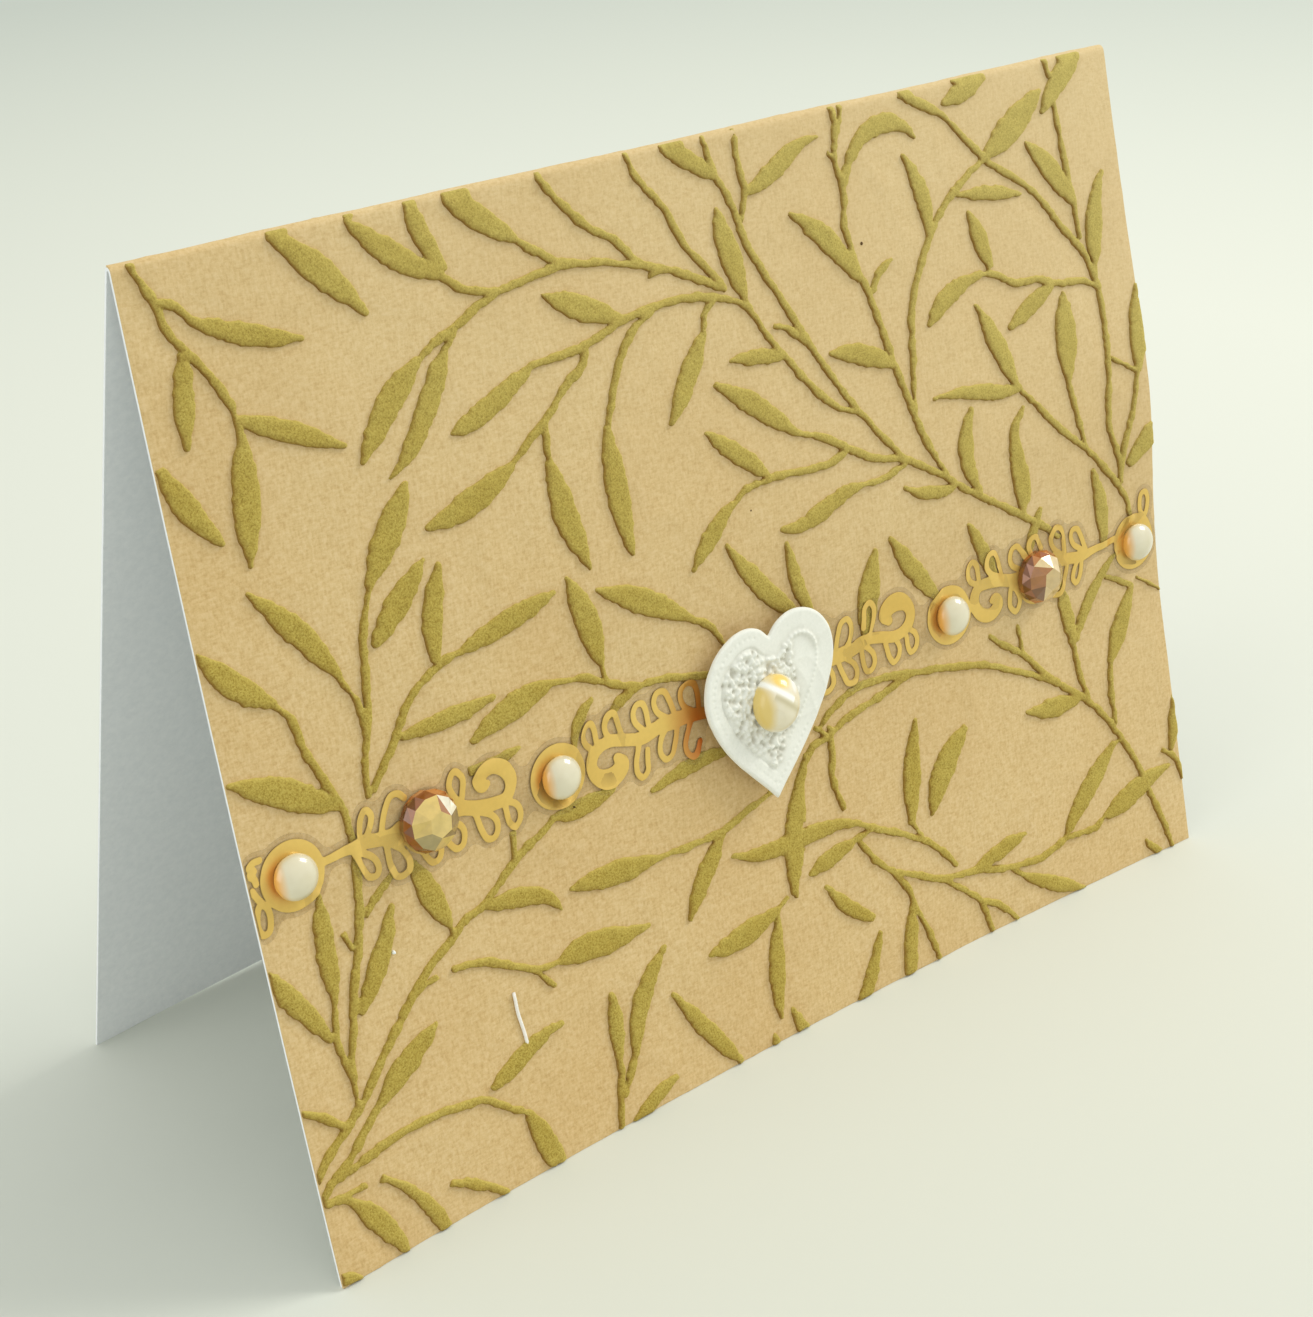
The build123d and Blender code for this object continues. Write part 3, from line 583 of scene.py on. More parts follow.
def card_sheet():
    """The white sheet: front panel, rounded fold and bulging back panel, with its thickness."""
    columns, rows, arc_steps = 72, 56, 10
    fold_y = CORNER[1] + CARD_H * math.sin(LEAN) + FOLD_R * math.cos(LEAN)
    arc_middle = CORNER + CARD_H * UP - FOLD_R * OUT
    back_corner = np.array((CORNER[0], 2 * fold_y - CORNER[1], CORNER[2]))
    back_up = UP * (1, -1, 1)
    back_out = OUT * (1, -1, 1)
    x = np.linspace(0, CARD_W, columns + 1)
    u = x / CARD_W
    across = np.multiply.outer(x, ACROSS)

    def layer(depth):
        lines = []
        for v in np.linspace(0, 1, rows + 1):
            lines.append(place(x, np.full_like(x, v * CARD_H), -depth))
        for k in range(1, arc_steps):
            turn = (math.pi - 2 * LEAN) * (k / arc_steps - 0.5)
            way = np.array((0.0, math.sin(turn), math.cos(turn)))
            lines.append(arc_middle + across + (FOLD_R - depth) * way)
        for v in np.linspace(1, 0, rows + 1):
            uneven = BACK_RIPPLE_SHARE * layers(x, v * CARD_H, RIPPLES) * (v < 1)
            bulge = BACK_BOW * 4 * u * (1 - u) * (1 - v) + uneven
            line = back_corner + across + v * CARD_H * back_up
            lines.append(line + np.multiply.outer(bulge - depth, back_out))
        grid = np.array(lines)
        grid[..., 2] = np.maximum(grid[..., 2], 0.0)
        return grid

    points, faces = two_sided(layer(0.0), layer(CARD_T))
    return build("card_sheet", points, faces, ["card_base"], sharp_deg=60)


def two_sided(outer, inner):
    """A closed sheet between two grids of points that match."""
    rows, columns = outer.shape[:2]
    count = rows * columns
    index = np.arange(count).reshape(rows, columns)
    corners = (index[:-1, :-1], index[:-1, 1:], index[1:, 1:], index[1:, :-1])
    faces = []
    for a, b, c, d in zip(*(corner.ravel().tolist() for corner in corners)):
        faces.append((a, b, c, d))
        faces.append((d + count, c + count, b + count, a + count))
    rim = np.concatenate((index[0, :-1], index[:-1, -1], index[-1, :0:-1], index[:0:-1, 0])).tolist()
    for a, b in zip(rim, rim[1:] + rim[:1]):
        faces.append((b, a, a + count, b + count))
    return np.vstack((outer.reshape(-1, 3), inner.reshape(-1, 3))), faces


def cover():
    """The handmade paper on the front, uneven and creased, with slightly soft edges."""
    step, wrap_steps = 0.68, 6
    x = np.linspace(0, CARD_W, int(CARD_W / step) + 1)
    y = np.linspace(0, CARD_H, int(CARD_H / step) + 1)
    y = np.concatenate((y, CARD_H + np.linspace(0, FOLD_WRAP, wrap_steps + 1)[1:]))
    x, y = np.meshgrid(x, y)
    inside = beyond_edge(x, y, FOLD_WRAP) < -0.01
    top = place(x, y, COVER_T + np.where(inside, layers(x, y, PAPER_GRAIN), -0.05))
    points, faces = two_sided(top, place(x, y, 0.0))
    return build("cover_sheet", points, faces, ["cover_paper"], sharp_deg=60)


def vine_field():
    """Distances to the vines' wandering outline, carried straight on over the fold."""
    margin, over, step, reach = 0.6, 1.6, 0.14, 0.9
    field = Field((-margin, -margin), (CARD_W + margin, CARD_H + over), step, reach)
    outlines = node_outlines("vine_flock", panel_place(vertices("vine_flock"))[2].max())
    field.loops([rounded(loop, 0.35, VINE_CORNER_DEG) for loop in outlines])
    for bridge in VINE_BRIDGES:
        field.stroke(curve_through(bridge, 0.3))
    x, y = np.meshgrid(field.xs, field.ys)
    last = int((CARD_H - 0.1 - field.ys[0]) / field.step)
    field.values[last:] = field.values[last]
    field.values += layers(x, y, VINE_WOBBLE)
    field.keep_within(beyond_edge(x, y, VINE_OVER) + 0.02)
    return field


def under_film(x, y):
    """Whether a sticker's clear film may lie over places on the front."""
    covered = np.zeros(x.shape, bool)
    for side in SIDES:
        s, t = strip_place(side, x, y)
        covered |= (s > FILM_ENDS[0]) & (s < FILM_ENDS[1]) & (np.abs(t) < FILM_HALF_W)
    return covered


def vines(field):
    """The raised pattern, its section rounded and grainy, pressed flatter under the film."""

    def top(x, y, depth):
        inside = -beyond_edge(x, y, VINE_OVER)
        rise = np.interp(depth, *VINE_SECTION)
        rise = np.where((depth < 0.01) & (inside < 0.05), VINE_CUT_EDGE, rise)
        rise = rise * np.clip((CARD_H + VINE_OVER - y) / 0.6 + 0.25, 0, 1)
        rise = rise + layers(x, y, VINE_GRAIN) * np.clip(depth / 0.12, 0, 1)
        rise = np.where(under_film(x, y), np.minimum(rise, VINE_UNDER_FILM), rise)
        return COVER_T - VINE_SUNK + rise

    def bottom(x, y):
        return np.full_like(x, COVER_T - 2 * VINE_SUNK)

    points, faces, depth = shell(field, top, bottom, levels=(0.0, -0.08, -0.22), spacing=0.28,
                                 inner_spacing=0.5)
    piece = build("vines", points, faces, ["vine_flock"])
    x, y, _ = panel_place(points)
    # Shares for a painted shade on the rims facing the lower left and a painted highlight on the rims
    # facing the upper right
    for name, way in (("painted_shade_rim", (-0.8, -0.6)), ("lit", (0.8, 0.6))):
        set_shares(piece, name, rim_share(field, x, y, depth, 0.3, way))
    return piece


def rim_share(field, x, y, depth, width, way):
    """How much a shape's rim, this wide, faces a way at each place."""
    reach = 0.12
    gx = field.at(x + reach, y) - field.at(x - reach, y)
    gy = field.at(x, y + reach) - field.at(x, y - reach)
    facing = (gx * way[0] + gy * way[1]) / (np.hypot(gx, gy) + 1e-6)
    return np.clip(1 - depth / width, 0, 1) * np.clip(facing, 0, 1)


# Gold strokes of one sticker, along and across it. Loops are (x, y); bands also give their width
GOLD_LOOPS = (
    ((8.3, 0.9), (8.4, 1.9), (8.8, 3.2), (9.5, 4.0), (10.1, 3.3), (9.7, 2.0), (8.9, 0.9)),
    ((11.0, 0.9), (11.4, 2.2), (12.0, 3.5), (12.8, 4.5), (13.7, 4.5), (14.4, 3.8)),
    ((21.3, 0.9), (20.5, 1.9), (20.05, 3.4), (20.9, 4.7), (21.8, 3.8), (21.6, 2.2), (21.2, 0.9)),
    ((7.3, 0.2), (7.7, -0.9), (8.1, -2.0), (8.8, -3.2), (9.7, -3.25), (10.05, -2.5), (9.6, -1.3),
     (8.6, -0.5), (7.8, 0.0)),
    ((11.4, -0.2), (11.4, -1.6), (11.5, -2.9), (11.9, -4.1), (12.8, -4.4), (13.6, -3.9),
     (13.75, -2.8), (13.2, -1.6), (12.3, -0.8), (11.6, -0.3)),
    ((15.6, -2.4), (15.95, -3.3), (16.7, -4.25), (17.5, -4.1), (17.95, -3.2), (17.8, -2.4)),
    ((18.6, -2.0), (19.2, -3.1), (19.9, -3.8), (20.75, -3.55), (21.15, -2.3), (20.8, -1.4),
     (20.1, -0.9), (19.4, -0.5)),
    ((22.8, -0.4), (23.05, -1.5), (23.4, -2.9), (23.95, -4.0), (24.8, -4.1), (25.4, -3.4),
     (25.45, -2.4), (24.85, -1.5), (23.8, -0.9), (23.0, -0.5)),
    ((26.8, -0.6), (26.85, -1.8), (27.1, -3.2), (27.7, -3.8), (28.4, -3.3), (28.65, -2.3),
     (28.3, -1.4), (27.6, -0.9), (26.9, -0.6)),
    ((40.1, 1.2), (39.2, 1.7), (38.5, 2.4), (38.25, 3.4), (38.75, 4.4), (39.5, 4.6), (39.9, 3.7),
     (40.0, 2.4), (40.2, 1.4)),
    ((42.3, 1.8), (41.6, 2.6), (41.35, 3.6), (41.7, 4.6), (42.5, 5.05), (43.1, 4.2), (43.4, 2.9),
     (43.7, 1.7)),
    ((47.3, 1.3), (46.3, 2.1), (45.65, 3.0), (45.6, 4.1), (46.2, 4.85), (47.0, 4.8), (47.4, 3.8),
     (47.5, 2.6), (47.6, 1.8)),
    ((50.6, 1.9), (49.7, 2.5), (48.9, 3.3), (48.65, 4.5), (49.2, 5.4), (50.2, 5.35), (50.85, 4.1),
     (51.3, 2.7), (51.6, 1.8)),
    ((46.0, 0.4), (45.6, -0.6), (45.2, -1.8), (45.15, -3.0), (45.8, -3.75), (46.6, -3.25),
     (46.85, -1.9), (47.0, -0.8)),
    ((50.1, 1.0), (49.4, 0.3), (48.85, -0.8), (48.85, -1.9), (49.5, -2.7), (50.4, -2.4),
     (51.0, -1.2), (51.4, 0.0), (51.7, 1.0)),
    ((53.6, 0.6), (52.9, -0.7), (52.5, -1.8), (52.7, -2.9), (53.4, -3.5), (54.2, -3.0),
     (54.7, -2.0)),
    ((54.0, 1.9), (53.0, 2.6), (52.5, 3.6), (52.6, 4.7), (53.6, 5.4), (54.6, 5.0), (55.0, 3.6),
     (55.0, 2.2)),
    ((-3.4, 2.8), (-4.2, 2.75), (-4.7, 2.3), (-4.2, 1.9), (-4.8, 1.6), (-4.35, 1.1), (-4.2, 0.5)),
    ((-4.8, -0.1), (-4.3, -1.1), (-3.9, -1.7)),
    ((-3.9, -1.7), (-4.35, -1.9), (-4.75, -2.8), (-4.9, -4.0), (-4.5, -4.9), (-3.75, -4.8),
     (-3.35, -3.7), (-3.4, -2.5), (-3.9, -1.7)),
)
GOLD_BANDS = (
    ((1.0, 0.0, 0.8), (2.6, 0.1, 0.9), (6.2, 0.5, 1.1), (8.3, 0.7, 1.5), (10.5, 0.4, 1.6),
     (12.3, 0.2, 1.9), (13.8, 0.2, 3.0)),
    ((20.0, 0.5, 1.7), (21.5, 0.35, 1.7), (23.0, -0.1, 1.7), (25.4, -0.38, 1.6), (27.0, -0.2, 1.5),
     (27.75, 0.7, 1.5), (27.9, 1.9, 1.7), (27.1, 3.2, 1.8), (25.75, 3.85, 1.8), (24.5, 3.55, 1.8),
     (23.85, 2.7, 1.8), (24.2, 2.0, 1.5), (24.9, 2.1, 0.8)),
    ((42.6, -0.4, 1.2), (43.2, -1.3, 2.0), (42.3, -2.2, 2.4), (40.8, -2.4, 2.4), (39.4, -1.6, 1.8),
     (38.9, -0.4, 1.6), (39.3, 0.8, 1.6), (40.5, 1.6, 1.5), (42.0, 1.8, 1.5), (44.4, 1.2, 1.5),
     (46.6, 0.8, 1.6), (48.9, 1.4, 1.8), (51.2, 1.5, 2.0), (53.2, 1.5, 1.8), (57.0, 0.9, 1.2)),
)


def strip_frame(side):
    """Where a sticker starts on the front, its ways along and across, and its pearls' distance."""
    first, second = (np.array(node_place(name)[:2]) for name in SIDES[side]["pearls"])
    along = second - first
    pitch = float(np.linalg.norm(along))
    along /= pitch
    return first + SIDES[side]["nudge"], along, np.array((-along[1], along[0])), pitch


def strip_place(side, x, y):
    """Places along and across a sticker of places on the front."""
    start, along, across, _ = strip_frame(side)
    dx, dy = x - start[0], y - start[1]
    return dx * along[0] + dy * along[1], dx * across[0] + dy * across[1]


def strip_parts(side):
    """Distances to a sticker's gold, distances to where it may lie, and the map to the front."""
    start, along, across, pitch = strip_frame(side)
    facts = SIDES[side]
    cosine, sine = math.cos(facts["turn"]), math.sin(facts["turn"])
    turn = np.array(((cosine, sine), (-sine, cosine)))
    field = strip_field()

    def slipped(points):
        points = np.array(points, float)
        points[:, :2] = points[:, :2] @ turn + facts["slip"]
        return points

    def to_front(points):
        return start + np.outer(points[:, 0], along) + np.outer(points[:, 1], across)

    for loop in GOLD_LOOPS:
        line = curve_through(slipped(loop), 0.15)
        field.stroke(np.column_stack((line, np.full(len(line), LINE_W))))
    for band in GOLD_BANDS:
        field.stroke(curve_through(slipped(band), 0.15))
    x, y, _ = node_place("amber_gem_" + side)
    seat_at = strip_place(side, x + facts["nudge"][0], y + facts["nudge"][1])
    for spot, radius in (((0.0, 0.0), DISC_R), ((pitch, 0.0), DISC_R), (seat_at, AMBER_SEAT_R)):
        field.segment(np.array(spot), np.array(spot), radius, radius)
    grid = np.meshgrid(field.xs, field.ys)
    front = to_front(np.column_stack([axis.ravel() for axis in grid]))
    x, y = (front[:, k].reshape(grid[0].shape) for k in range(2))
    pad_x, pad_y, _ = node_place("foam_pad")
    pad_r = np.ptp(panel_place(vertices("foam_pad"))[0]) / 2 + 0.25
    beyond = np.maximum(beyond_edge(x, y) + 0.02, pad_r - np.hypot(x - pad_x, y - pad_y))
    return field, beyond, to_front


def strip_field():
    step, reach = 0.1, 2.4
    return Field(STRIP_LOW, STRIP_HIGH, step, reach)


def border(side, vine):
    """A sticker's clear film and its gold foil, draped over the vines."""
    field, beyond, to_front = strip_parts(side)
    film = strip_field()
    film.loops(field.contours(FILM_CLOSING))
    film.values = np.maximum(film.values + FILM_CLOSING - FILM_MARGIN, beyond)
    field.keep_within(beyond)

    def drape(x, y):
        """Height of the film's underside, from flat away from a vine to full over it."""
        near = np.clip((DRAPE_FROM - vine.at(x, y)) / DRAPE_W, 0, 1)
        return COVER_T + FILM_LIFT + (VINE_UNDER_FILM + 0.01) * near * near * (3 - 2 * near)

    def film_top(x, y, depth):
        return drape(x, y) + FILM_T

    def gold_top(x, y, depth):
        return drape(x, y) + FILM_T + GOLD_T - 0.02 * (depth < 0.005)

    def gold_bottom(x, y):
        return drape(x, y) + FILM_T + 0.01

    rim_w = 0.09
    points, faces, depth = shell(film, film_top, drape, levels=(0.0, -rim_w), spacing=0.3,
                                 inner_spacing=0.6, to_front=to_front)
    clear = build("clear_film_" + side, points, faces, ["film_strip_" + side],
                  sharp_deg=50)
    set_shares(clear, "rim", 1 - np.clip(depth / rim_w, 0, 1))
    rim_w = 0.11
    points, faces, depth = shell(field, gold_top, gold_bottom, levels=(0.0, -rim_w), spacing=0.16,
                                 inner_spacing=0.5, to_front=to_front)
    gold = build("gold_foil_" + side, points, faces, ["gold_scroll_" + side],
                 sharp_deg=50)
    # Orange-brown painted shade beside the pearls, and the heart's painted shadow
    set_shares(gold, "painted_orange_shade", painted_orange_shade_share(points))
    # Painted shade along the gold's rims on one side
    along, across = strip_place(side, *panel_place(points)[:2])
    set_shares(gold, "painted_shade_rim", rim_share(field, along, across, depth, rim_w, (-0.8, 0.6)))
    return clear, gold


def painted_orange_shade_share(points):
    """How much painted shade and reflected orange the gold takes: a ring left of each pearl, and the
    heart's painted shadow beside its left edge.
    """
    x, y, _ = panel_place(points)
    total = np.zeros(len(x))
    ring_r, ring_w = 2.4, 0.65
    for side in SIDES.values():
        for name in side["pearls"]:
            px, py, _ = node_place(name)
            dx, dy = x - px - side["nudge"][0], y - py - side["nudge"][1]
            apart = np.hypot(dx, dy)
            ring = np.exp(-(((apart - ring_r) / ring_w) ** 2))
            total += 0.5 * ring * np.clip(-dx / (apart + 0.01), 0, 1)
    edge = panel_place(vertices("heart"))[0].min()
    middle = node_place("heart")[1]
    wide, tall = 5.0, 12.0
    beside = np.clip(1 - np.abs(x - edge - 0.2) / wide, 0, 1) * (x < edge + 2.5)
    total += 1.15 * beside * np.clip(1 - np.abs(y - middle) / tall, 0, 1)
    return np.clip(total, 0, 1)


def ring_faces(rings, sides):
    """Faces round rings of points that follow one another, closed at both ends."""
    faces = []
    for ring in range(rings - 1):
        for k in range(sides):
            a = ring * sides + k
            b = ring * sides + (k + 1) % sides
            faces.append((a, b, b + sides, a + sides))
    faces.append(tuple(range(sides - 1, -1, -1)))
    faces.append(tuple(range((rings - 1) * sides, rings * sides)))
    return faces


def circle(radius, sides):
    turns = [2 * math.pi * k / sides for k in range(sides)]
    return [(radius * math.cos(turn), radius * math.sin(turn)) for turn in turns]


def turned(profile, sides):
    """Points and faces of a solid of revolution from (radius, height) pairs, foot to top."""
    points = [(x, y, height) for radius, height in profile for x, y in circle(radius, sides)]
    return np.array(points), ring_faces(len(profile), sides)


def set_down(shape, x, y, height):
    """Move a small piece's own points onto the bent front."""
    point, across, up, out = seat(x, y, height)
    shape = np.asarray(shape, float)
    return point + np.outer(shape[:, 0], across) + np.outer(shape[:, 1], up) + np.outer(shape[:, 2], out)


def pearl(node, nudge):
    """A flat-backed pearl, widest a little above its foot."""
    x, y, foot = node_place(node)
    rise = node_rise(node)
    waist = 0.27 * rise
    profile = [(0.9 * PEARL_R, 0.0)]
    for turn in np.linspace(-0.45, math.pi / 2 - 0.02, 22):
        if turn < 0:
            profile.append((PEARL_R * math.cos(turn)**0.9, waist + waist * 1.9 * math.sin(turn)))
        else:
            profile.append((PEARL_R * math.cos(turn), waist + (rise - waist) * math.sin(turn)))
    points, faces = turned(profile, 48)
    piece = build(node.replace("pearl_", "half_pearl_"),
                  set_down(points, x + nudge[0], y + nudge[1], foot - SUNK), faces, [node],
                  sharp_deg=60)
    low = 1 - points[:, 2] / rise
    # Painted reflection: the left side tinted orange where the gold disc reflects in it; painted shade:
    # the low part of the dome darker and yellower
    set_shares(piece, "amber", np.clip((-points[:, 0] / PEARL_R - 0.66 + 0.25 * low) / 0.4, 0, 1))
    set_shares(piece, "shade", np.clip((low - 0.45) / 0.5, 0, 1))
    return piece


def faceted(rings):
    """A cut stone from rings of corners, joined by flat facets; rings may differ in count."""
    starts = np.cumsum([0] + [len(ring) for ring in rings]).tolist()
    faces = [tuple(range(len(rings[0]) - 1, -1, -1))]
    for low in range(len(rings) - 1):
        a, b = len(rings[low]), len(rings[low + 1])
        i = j = 0
        while i < a or j < b:
            foot, top = starts[low] + i % a, starts[low + 1] + j % b
            if j >= b or (i < a and (i + 1) / a <= (j + 1) / b + 1e-9):
                faces.append((foot, starts[low] + (i + 1) % a, top))
                i += 1
            else:
                faces.append((foot, starts[low + 1] + (j + 1) % b, top))
                j += 1
    return np.vstack(rings), faces


def ring_of(count, radius, height, turn):
    angles = 2 * np.pi * (np.arange(count) + turn) / count
    return np.column_stack((radius * np.cos(angles), radius * np.sin(angles),
                            np.full(count, height)))


# Amber facets, with their light painted in: the low rim's colours, the rim's on the left darker
# as painted shade, and each crown's painted reflections, as the middle's colour and then colours
# up to an angle counted from the right
AMBER_RIM = ((184, 110, 48), (166, 92, 38), (200, 132, 66), (150, 88, 40))
AMBER_RIM_SHADED = ((128, 74, 32), (150, 88, 40), (112, 64, 26))
AMBER_CROWN_REFLECTIONS = {
    "left": ((0, (222, 194, 116)), (22, (160, 138, 98)), (58, (242, 234, 208)), (82, (176, 118, 70)),
             (205, (220, 190, 106)), (262, (172, 154, 96)), (300, (222, 194, 120)),
             (360, (150, 130, 92))),
    "right": ((0, (206, 178, 122)), (40, (172, 150, 98)), (120, (236, 210, 156)),
              (190, (168, 112, 58)), (240, (122, 78, 36)), (320, (230, 202, 148)),
              (360, (166, 146, 96))),
}


def amber(side):
    """A round cut stone: a low rim of small facets, a crown of larger ones and a middle."""
    node = "amber_gem_" + side
    x, y, foot = node_place(node)
    nudge = SIDES[side]["nudge"]
    rise = node_rise(node)
    rings = [
        ring_of(16, AMBER_R * 0.97, 0.0, 0.0),
        ring_of(16, AMBER_R, 0.28 * rise, 0.0),
        ring_of(12, AMBER_R * 0.86, 0.60 * rise, 0.5),
        ring_of(6, AMBER_R * 0.42, 0.97 * rise, 0.35),
        ring_of(1, 0.0, rise, 0.0),
    ]
    points, faces = faceted(rings)
    spot = (x + nudge[0], y + nudge[1] + AMBER_NUDGE, foot - SUNK)
    piece = build("amber_stone_" + side, set_down(points, *spot), faces, [node],
                  smooth=False)
    crown = AMBER_CROWN_REFLECTIONS[side]
    picks = np.random.default_rng(SIDES[side]["seed"])

    # A facet's colour, its painted reflections and shade included
    def tint(facet):
        middle = points[list(facet)].mean(axis=0)
        if middle[2] < 0.5 * rise:
            rim = AMBER_RIM if middle[0] > -0.5 * AMBER_R else AMBER_RIM_SHADED
            return rim[picks.integers(len(rim))]
        if math.hypot(middle[0], middle[1]) < 0.33 * AMBER_R:
            return crown[0][1]
        angle = math.degrees(math.atan2(middle[1], middle[0])) % 360
        return next(colour for limit, colour in crown[1:] if angle <= limit)

    colours = piece.data.attributes.new("tint", "FLOAT_COLOR", "FACE")
    for k, polygon in enumerate(piece.data.polygons):
        colours.data[k].color = rgb(*tint(polygon.vertices))
    return piece


# The heart's sheet, its lean and shift against the flat outline, and its embossed dots as
# (height, size)
HEART_T = 0.45
HEART_LEAN = ((0.98, 0.07), (0.05, 0.985))
HEART_SHIFT = (-0.5, 0.0)
STITCH = (-0.09, 0.16)
BEAD = (0.11, 0.2)
LARGE_BEAD = (0.2, 0.27)
LACE_HEIGHTS = (0.32, 0.26, -0.2)
LACE_SIZES = (0.18, 0.29)


def leaned(loop):
    """A flat outline skewed a little about its own middle."""
    middle = (loop.min(axis=0) + loop.max(axis=0)) / 2
    return middle + HEART_SHIFT + (loop - middle) @ np.array(HEART_LEAN)


def heart_dots(field):
    """The heart's embossing as (x, y, height, size): stitches, a line of beads, and lace."""
    dots = []
    gem_x, gem_y, _ = node_place("heart_gem")
    centre_x = node_place("heart")[0]
    for x, y in evenly(max(field.contours(-1.15), key=len), 0.78):
        if x < centre_x - 2.0 or y < gem_y - 4.0:
            dots.append((x, y, *STITCH))
    for x, y in evenly(max(field.contours(-2.9), key=len), 0.66):
        if x > centre_x + 0.8:
            upper = y > gem_y + 4.5 and x < centre_x + 7.5
            dots.append((x, y, *(LARGE_BEAD if upper else BEAD)))
    picks = np.random.default_rng(23)
    tries = scatter(field, 0.60, -2.6)
    for x, y in tries + picks.uniform(-0.22, 0.22, tries.shape):
        dx, dy = x - gem_x, y - gem_y
        left = dx < -0.6 and dy > -5.5
        below = abs(dx) < 1.4 and dy < 0
        above = 0 < dx < 4.2 and 2.5 < dy < 7.0
        if left or below or above or math.hypot(dx, dy) < 4.5:
            high = picks.choice(LACE_HEIGHTS)
            dots.append((x, y, high, picks.uniform(*LACE_SIZES)))
    return dots


def heart():
    """The embossed paper heart: rounded edge, a dotted line, a raised border and lace."""
    x, y, height = panel_place(vertices("heart"))
    foot = height.min()
    outline = max(node_outlines("heart", foot), key=len)[::-1]
    field = Field((x.min() - 1, y.min() - 1), (x.max() + 1, y.max() + 1), 0.1, 11.0)
    field.loops([leaned(rounded(outline, 0.25, 50))])
    dots = heart_dots(field)
    gem_x = node_place("heart_gem")[0]
    lace_shades = []

    def relief(px, py):
        """Height of the dots, and how deep in the lace each place lies, where it takes a painted shade.
        """
        total = np.zeros_like(px)
        lace = np.zeros_like(px)
        for x, y, high, size in dots:
            apart = (px - x) ** 2 + (py - y) ** 2
            near = (np.abs(px - x) < 3 * size) & (np.abs(py - y) < 3 * size)
            total[near] += high * np.exp(-apart[near] / size**2)
            if abs(high) > 0.19:
                lace = np.maximum(lace, np.exp(-apart / 0.4))
        return total, np.clip(lace * (0.14 - total) / 0.22, 0, 1)

    def top(px, py, depth):
        left = np.clip((gem_x + 1.0 - px) / 2.0, 0, 1)
        groove = -0.16 * left * np.exp(-(((depth - 2.35) / 0.15) ** 2))
        ridge = 0.05 * (1 - left) * np.exp(-(((depth - 2.9) / 0.2) ** 2))
        edge = -0.30 * np.clip(1 - depth / 0.35, 0, 1) ** 2
        raised = 0.06 * np.clip((depth - 2.5) / 0.4, 0, 1)
        swell = 0.05 * layers(px, py, ((4.0, 1.0, 24),))
        bumps, lace_shade = relief(px, py)
        lace_shades.append(lace_shade)
        return foot + HEART_T + edge + groove + ridge + raised + swell + bumps

    def bottom(px, py):
        return np.full_like(px, foot)

    points, faces, depth = shell(field, top, bottom, levels=(0.0, -0.12, -0.34), spacing=0.22,
                                 inner_spacing=0.17)
    piece = build("paper_heart", points, faces, ["heart"], sharp_deg=70)
    # A painted shade in the lace's hollows
    set_shares(piece, "lace_shade", np.concatenate((lace_shades[0], np.zeros(len(depth) - len(lace_shades[0])))))
    return piece


# The cream stone: its half widths, and flat cuts across its top, each as the way it faces and how
# far out it lies as a share of the height
CREAM_RX = 3.2
CREAM_RY = 3.5
CREAM_CUTS = (((0.62, 0.30, 1.0), 1.10), ((-0.45, -0.25, 1.0), 1.10))


def heart_stone():
    """A smooth cream dome with two flat cuts across its top."""
    x, y, foot = node_place("heart_gem")
    rise = node_rise("heart_gem") * 1.1
    wall = 0.26
    profile = [(0.93, 0.0), (0.98, 0.12), (1.0, wall)]
    steps = 34
    for k in range(1, steps):
        turn = math.pi / 2 * k / steps
        profile.append((math.cos(turn), wall + 0.84 * math.sin(turn)))
    points, faces = turned(profile, 84)
    points = points * (CREAM_RX, CREAM_RY, rise)
    for way, reach in CREAM_CUTS:
        way = np.array(way) / np.linalg.norm(way)
        beyond = np.maximum(points @ way - reach * rise, 0)
        points = points - np.outer(beyond, way)
    piece = build("cream_stone", set_down(points, x, y + 0.15, foot), faces, ["heart_gem"],
                  sharp_deg=14)
    px, py, height = points.T

    def spot(at_x, at_y, wide, tall):
        return np.exp(-(((px - at_x) / wide) ** 2) - ((py - at_y) / tall) ** 2)

    def band(offset, wide):
        return np.exp(-(((0.66 * px + 0.75 * py - offset) / wide) ** 2))

    # Painted light on the dome: highlight streaks, a golden reflection at the crest and a band in shade
    # across the top
    along = 0.75 * px - 0.66 * py
    painted_highlight = band(0.99, 0.32) * (along > -3.4) * (along < 0.4) + spot(1.95, 1.7, 0.6, 0.7)
    painted_shade_band = band(0.2, 0.45) * (np.abs(along) < 2.2) * (height > 0.55 * rise)
    set_shares(piece, "yellow", np.clip((-px / CREAM_RX - 0.45) / 0.3, 0, 1))
    set_shares(piece, "crest", np.clip(1.7 * spot(0.2, 2.9, 1.1, 0.7), 0, 1))
    set_shares(piece, "painted_highlight", np.clip(1.5 * painted_highlight, 0, 1))
    set_shares(piece, "painted_shade_band", np.clip(painted_shade_band, 0, 1))
    return piece


def foam_pad():
    """The sticky foam disc under the heart, its wall slightly barrelled."""
    x, y, foot = node_place("foam_pad")
    radius = np.ptp(panel_place(vertices("foam_pad"))[0]) / 2
    rise = node_rise("foam_pad")
    shape = ((-0.25, 0.0), (-0.1, 0.12), (0.0, 0.5), (-0.1, 0.88), (-0.25, 1.0))
    points, faces = turned([(radius + inset, share * rise) for inset, share in shape], 64)
    return build("foam_dot", set_down(points, x, y, foot), faces, ["foam_pad"],
                 sharp_deg=60)


FIBRE_LINE = ((28.25, 22.0), (28.3, 19.6), (28.6, 17.4), (28.75, 15.25))
FIBRE_R = 0.16


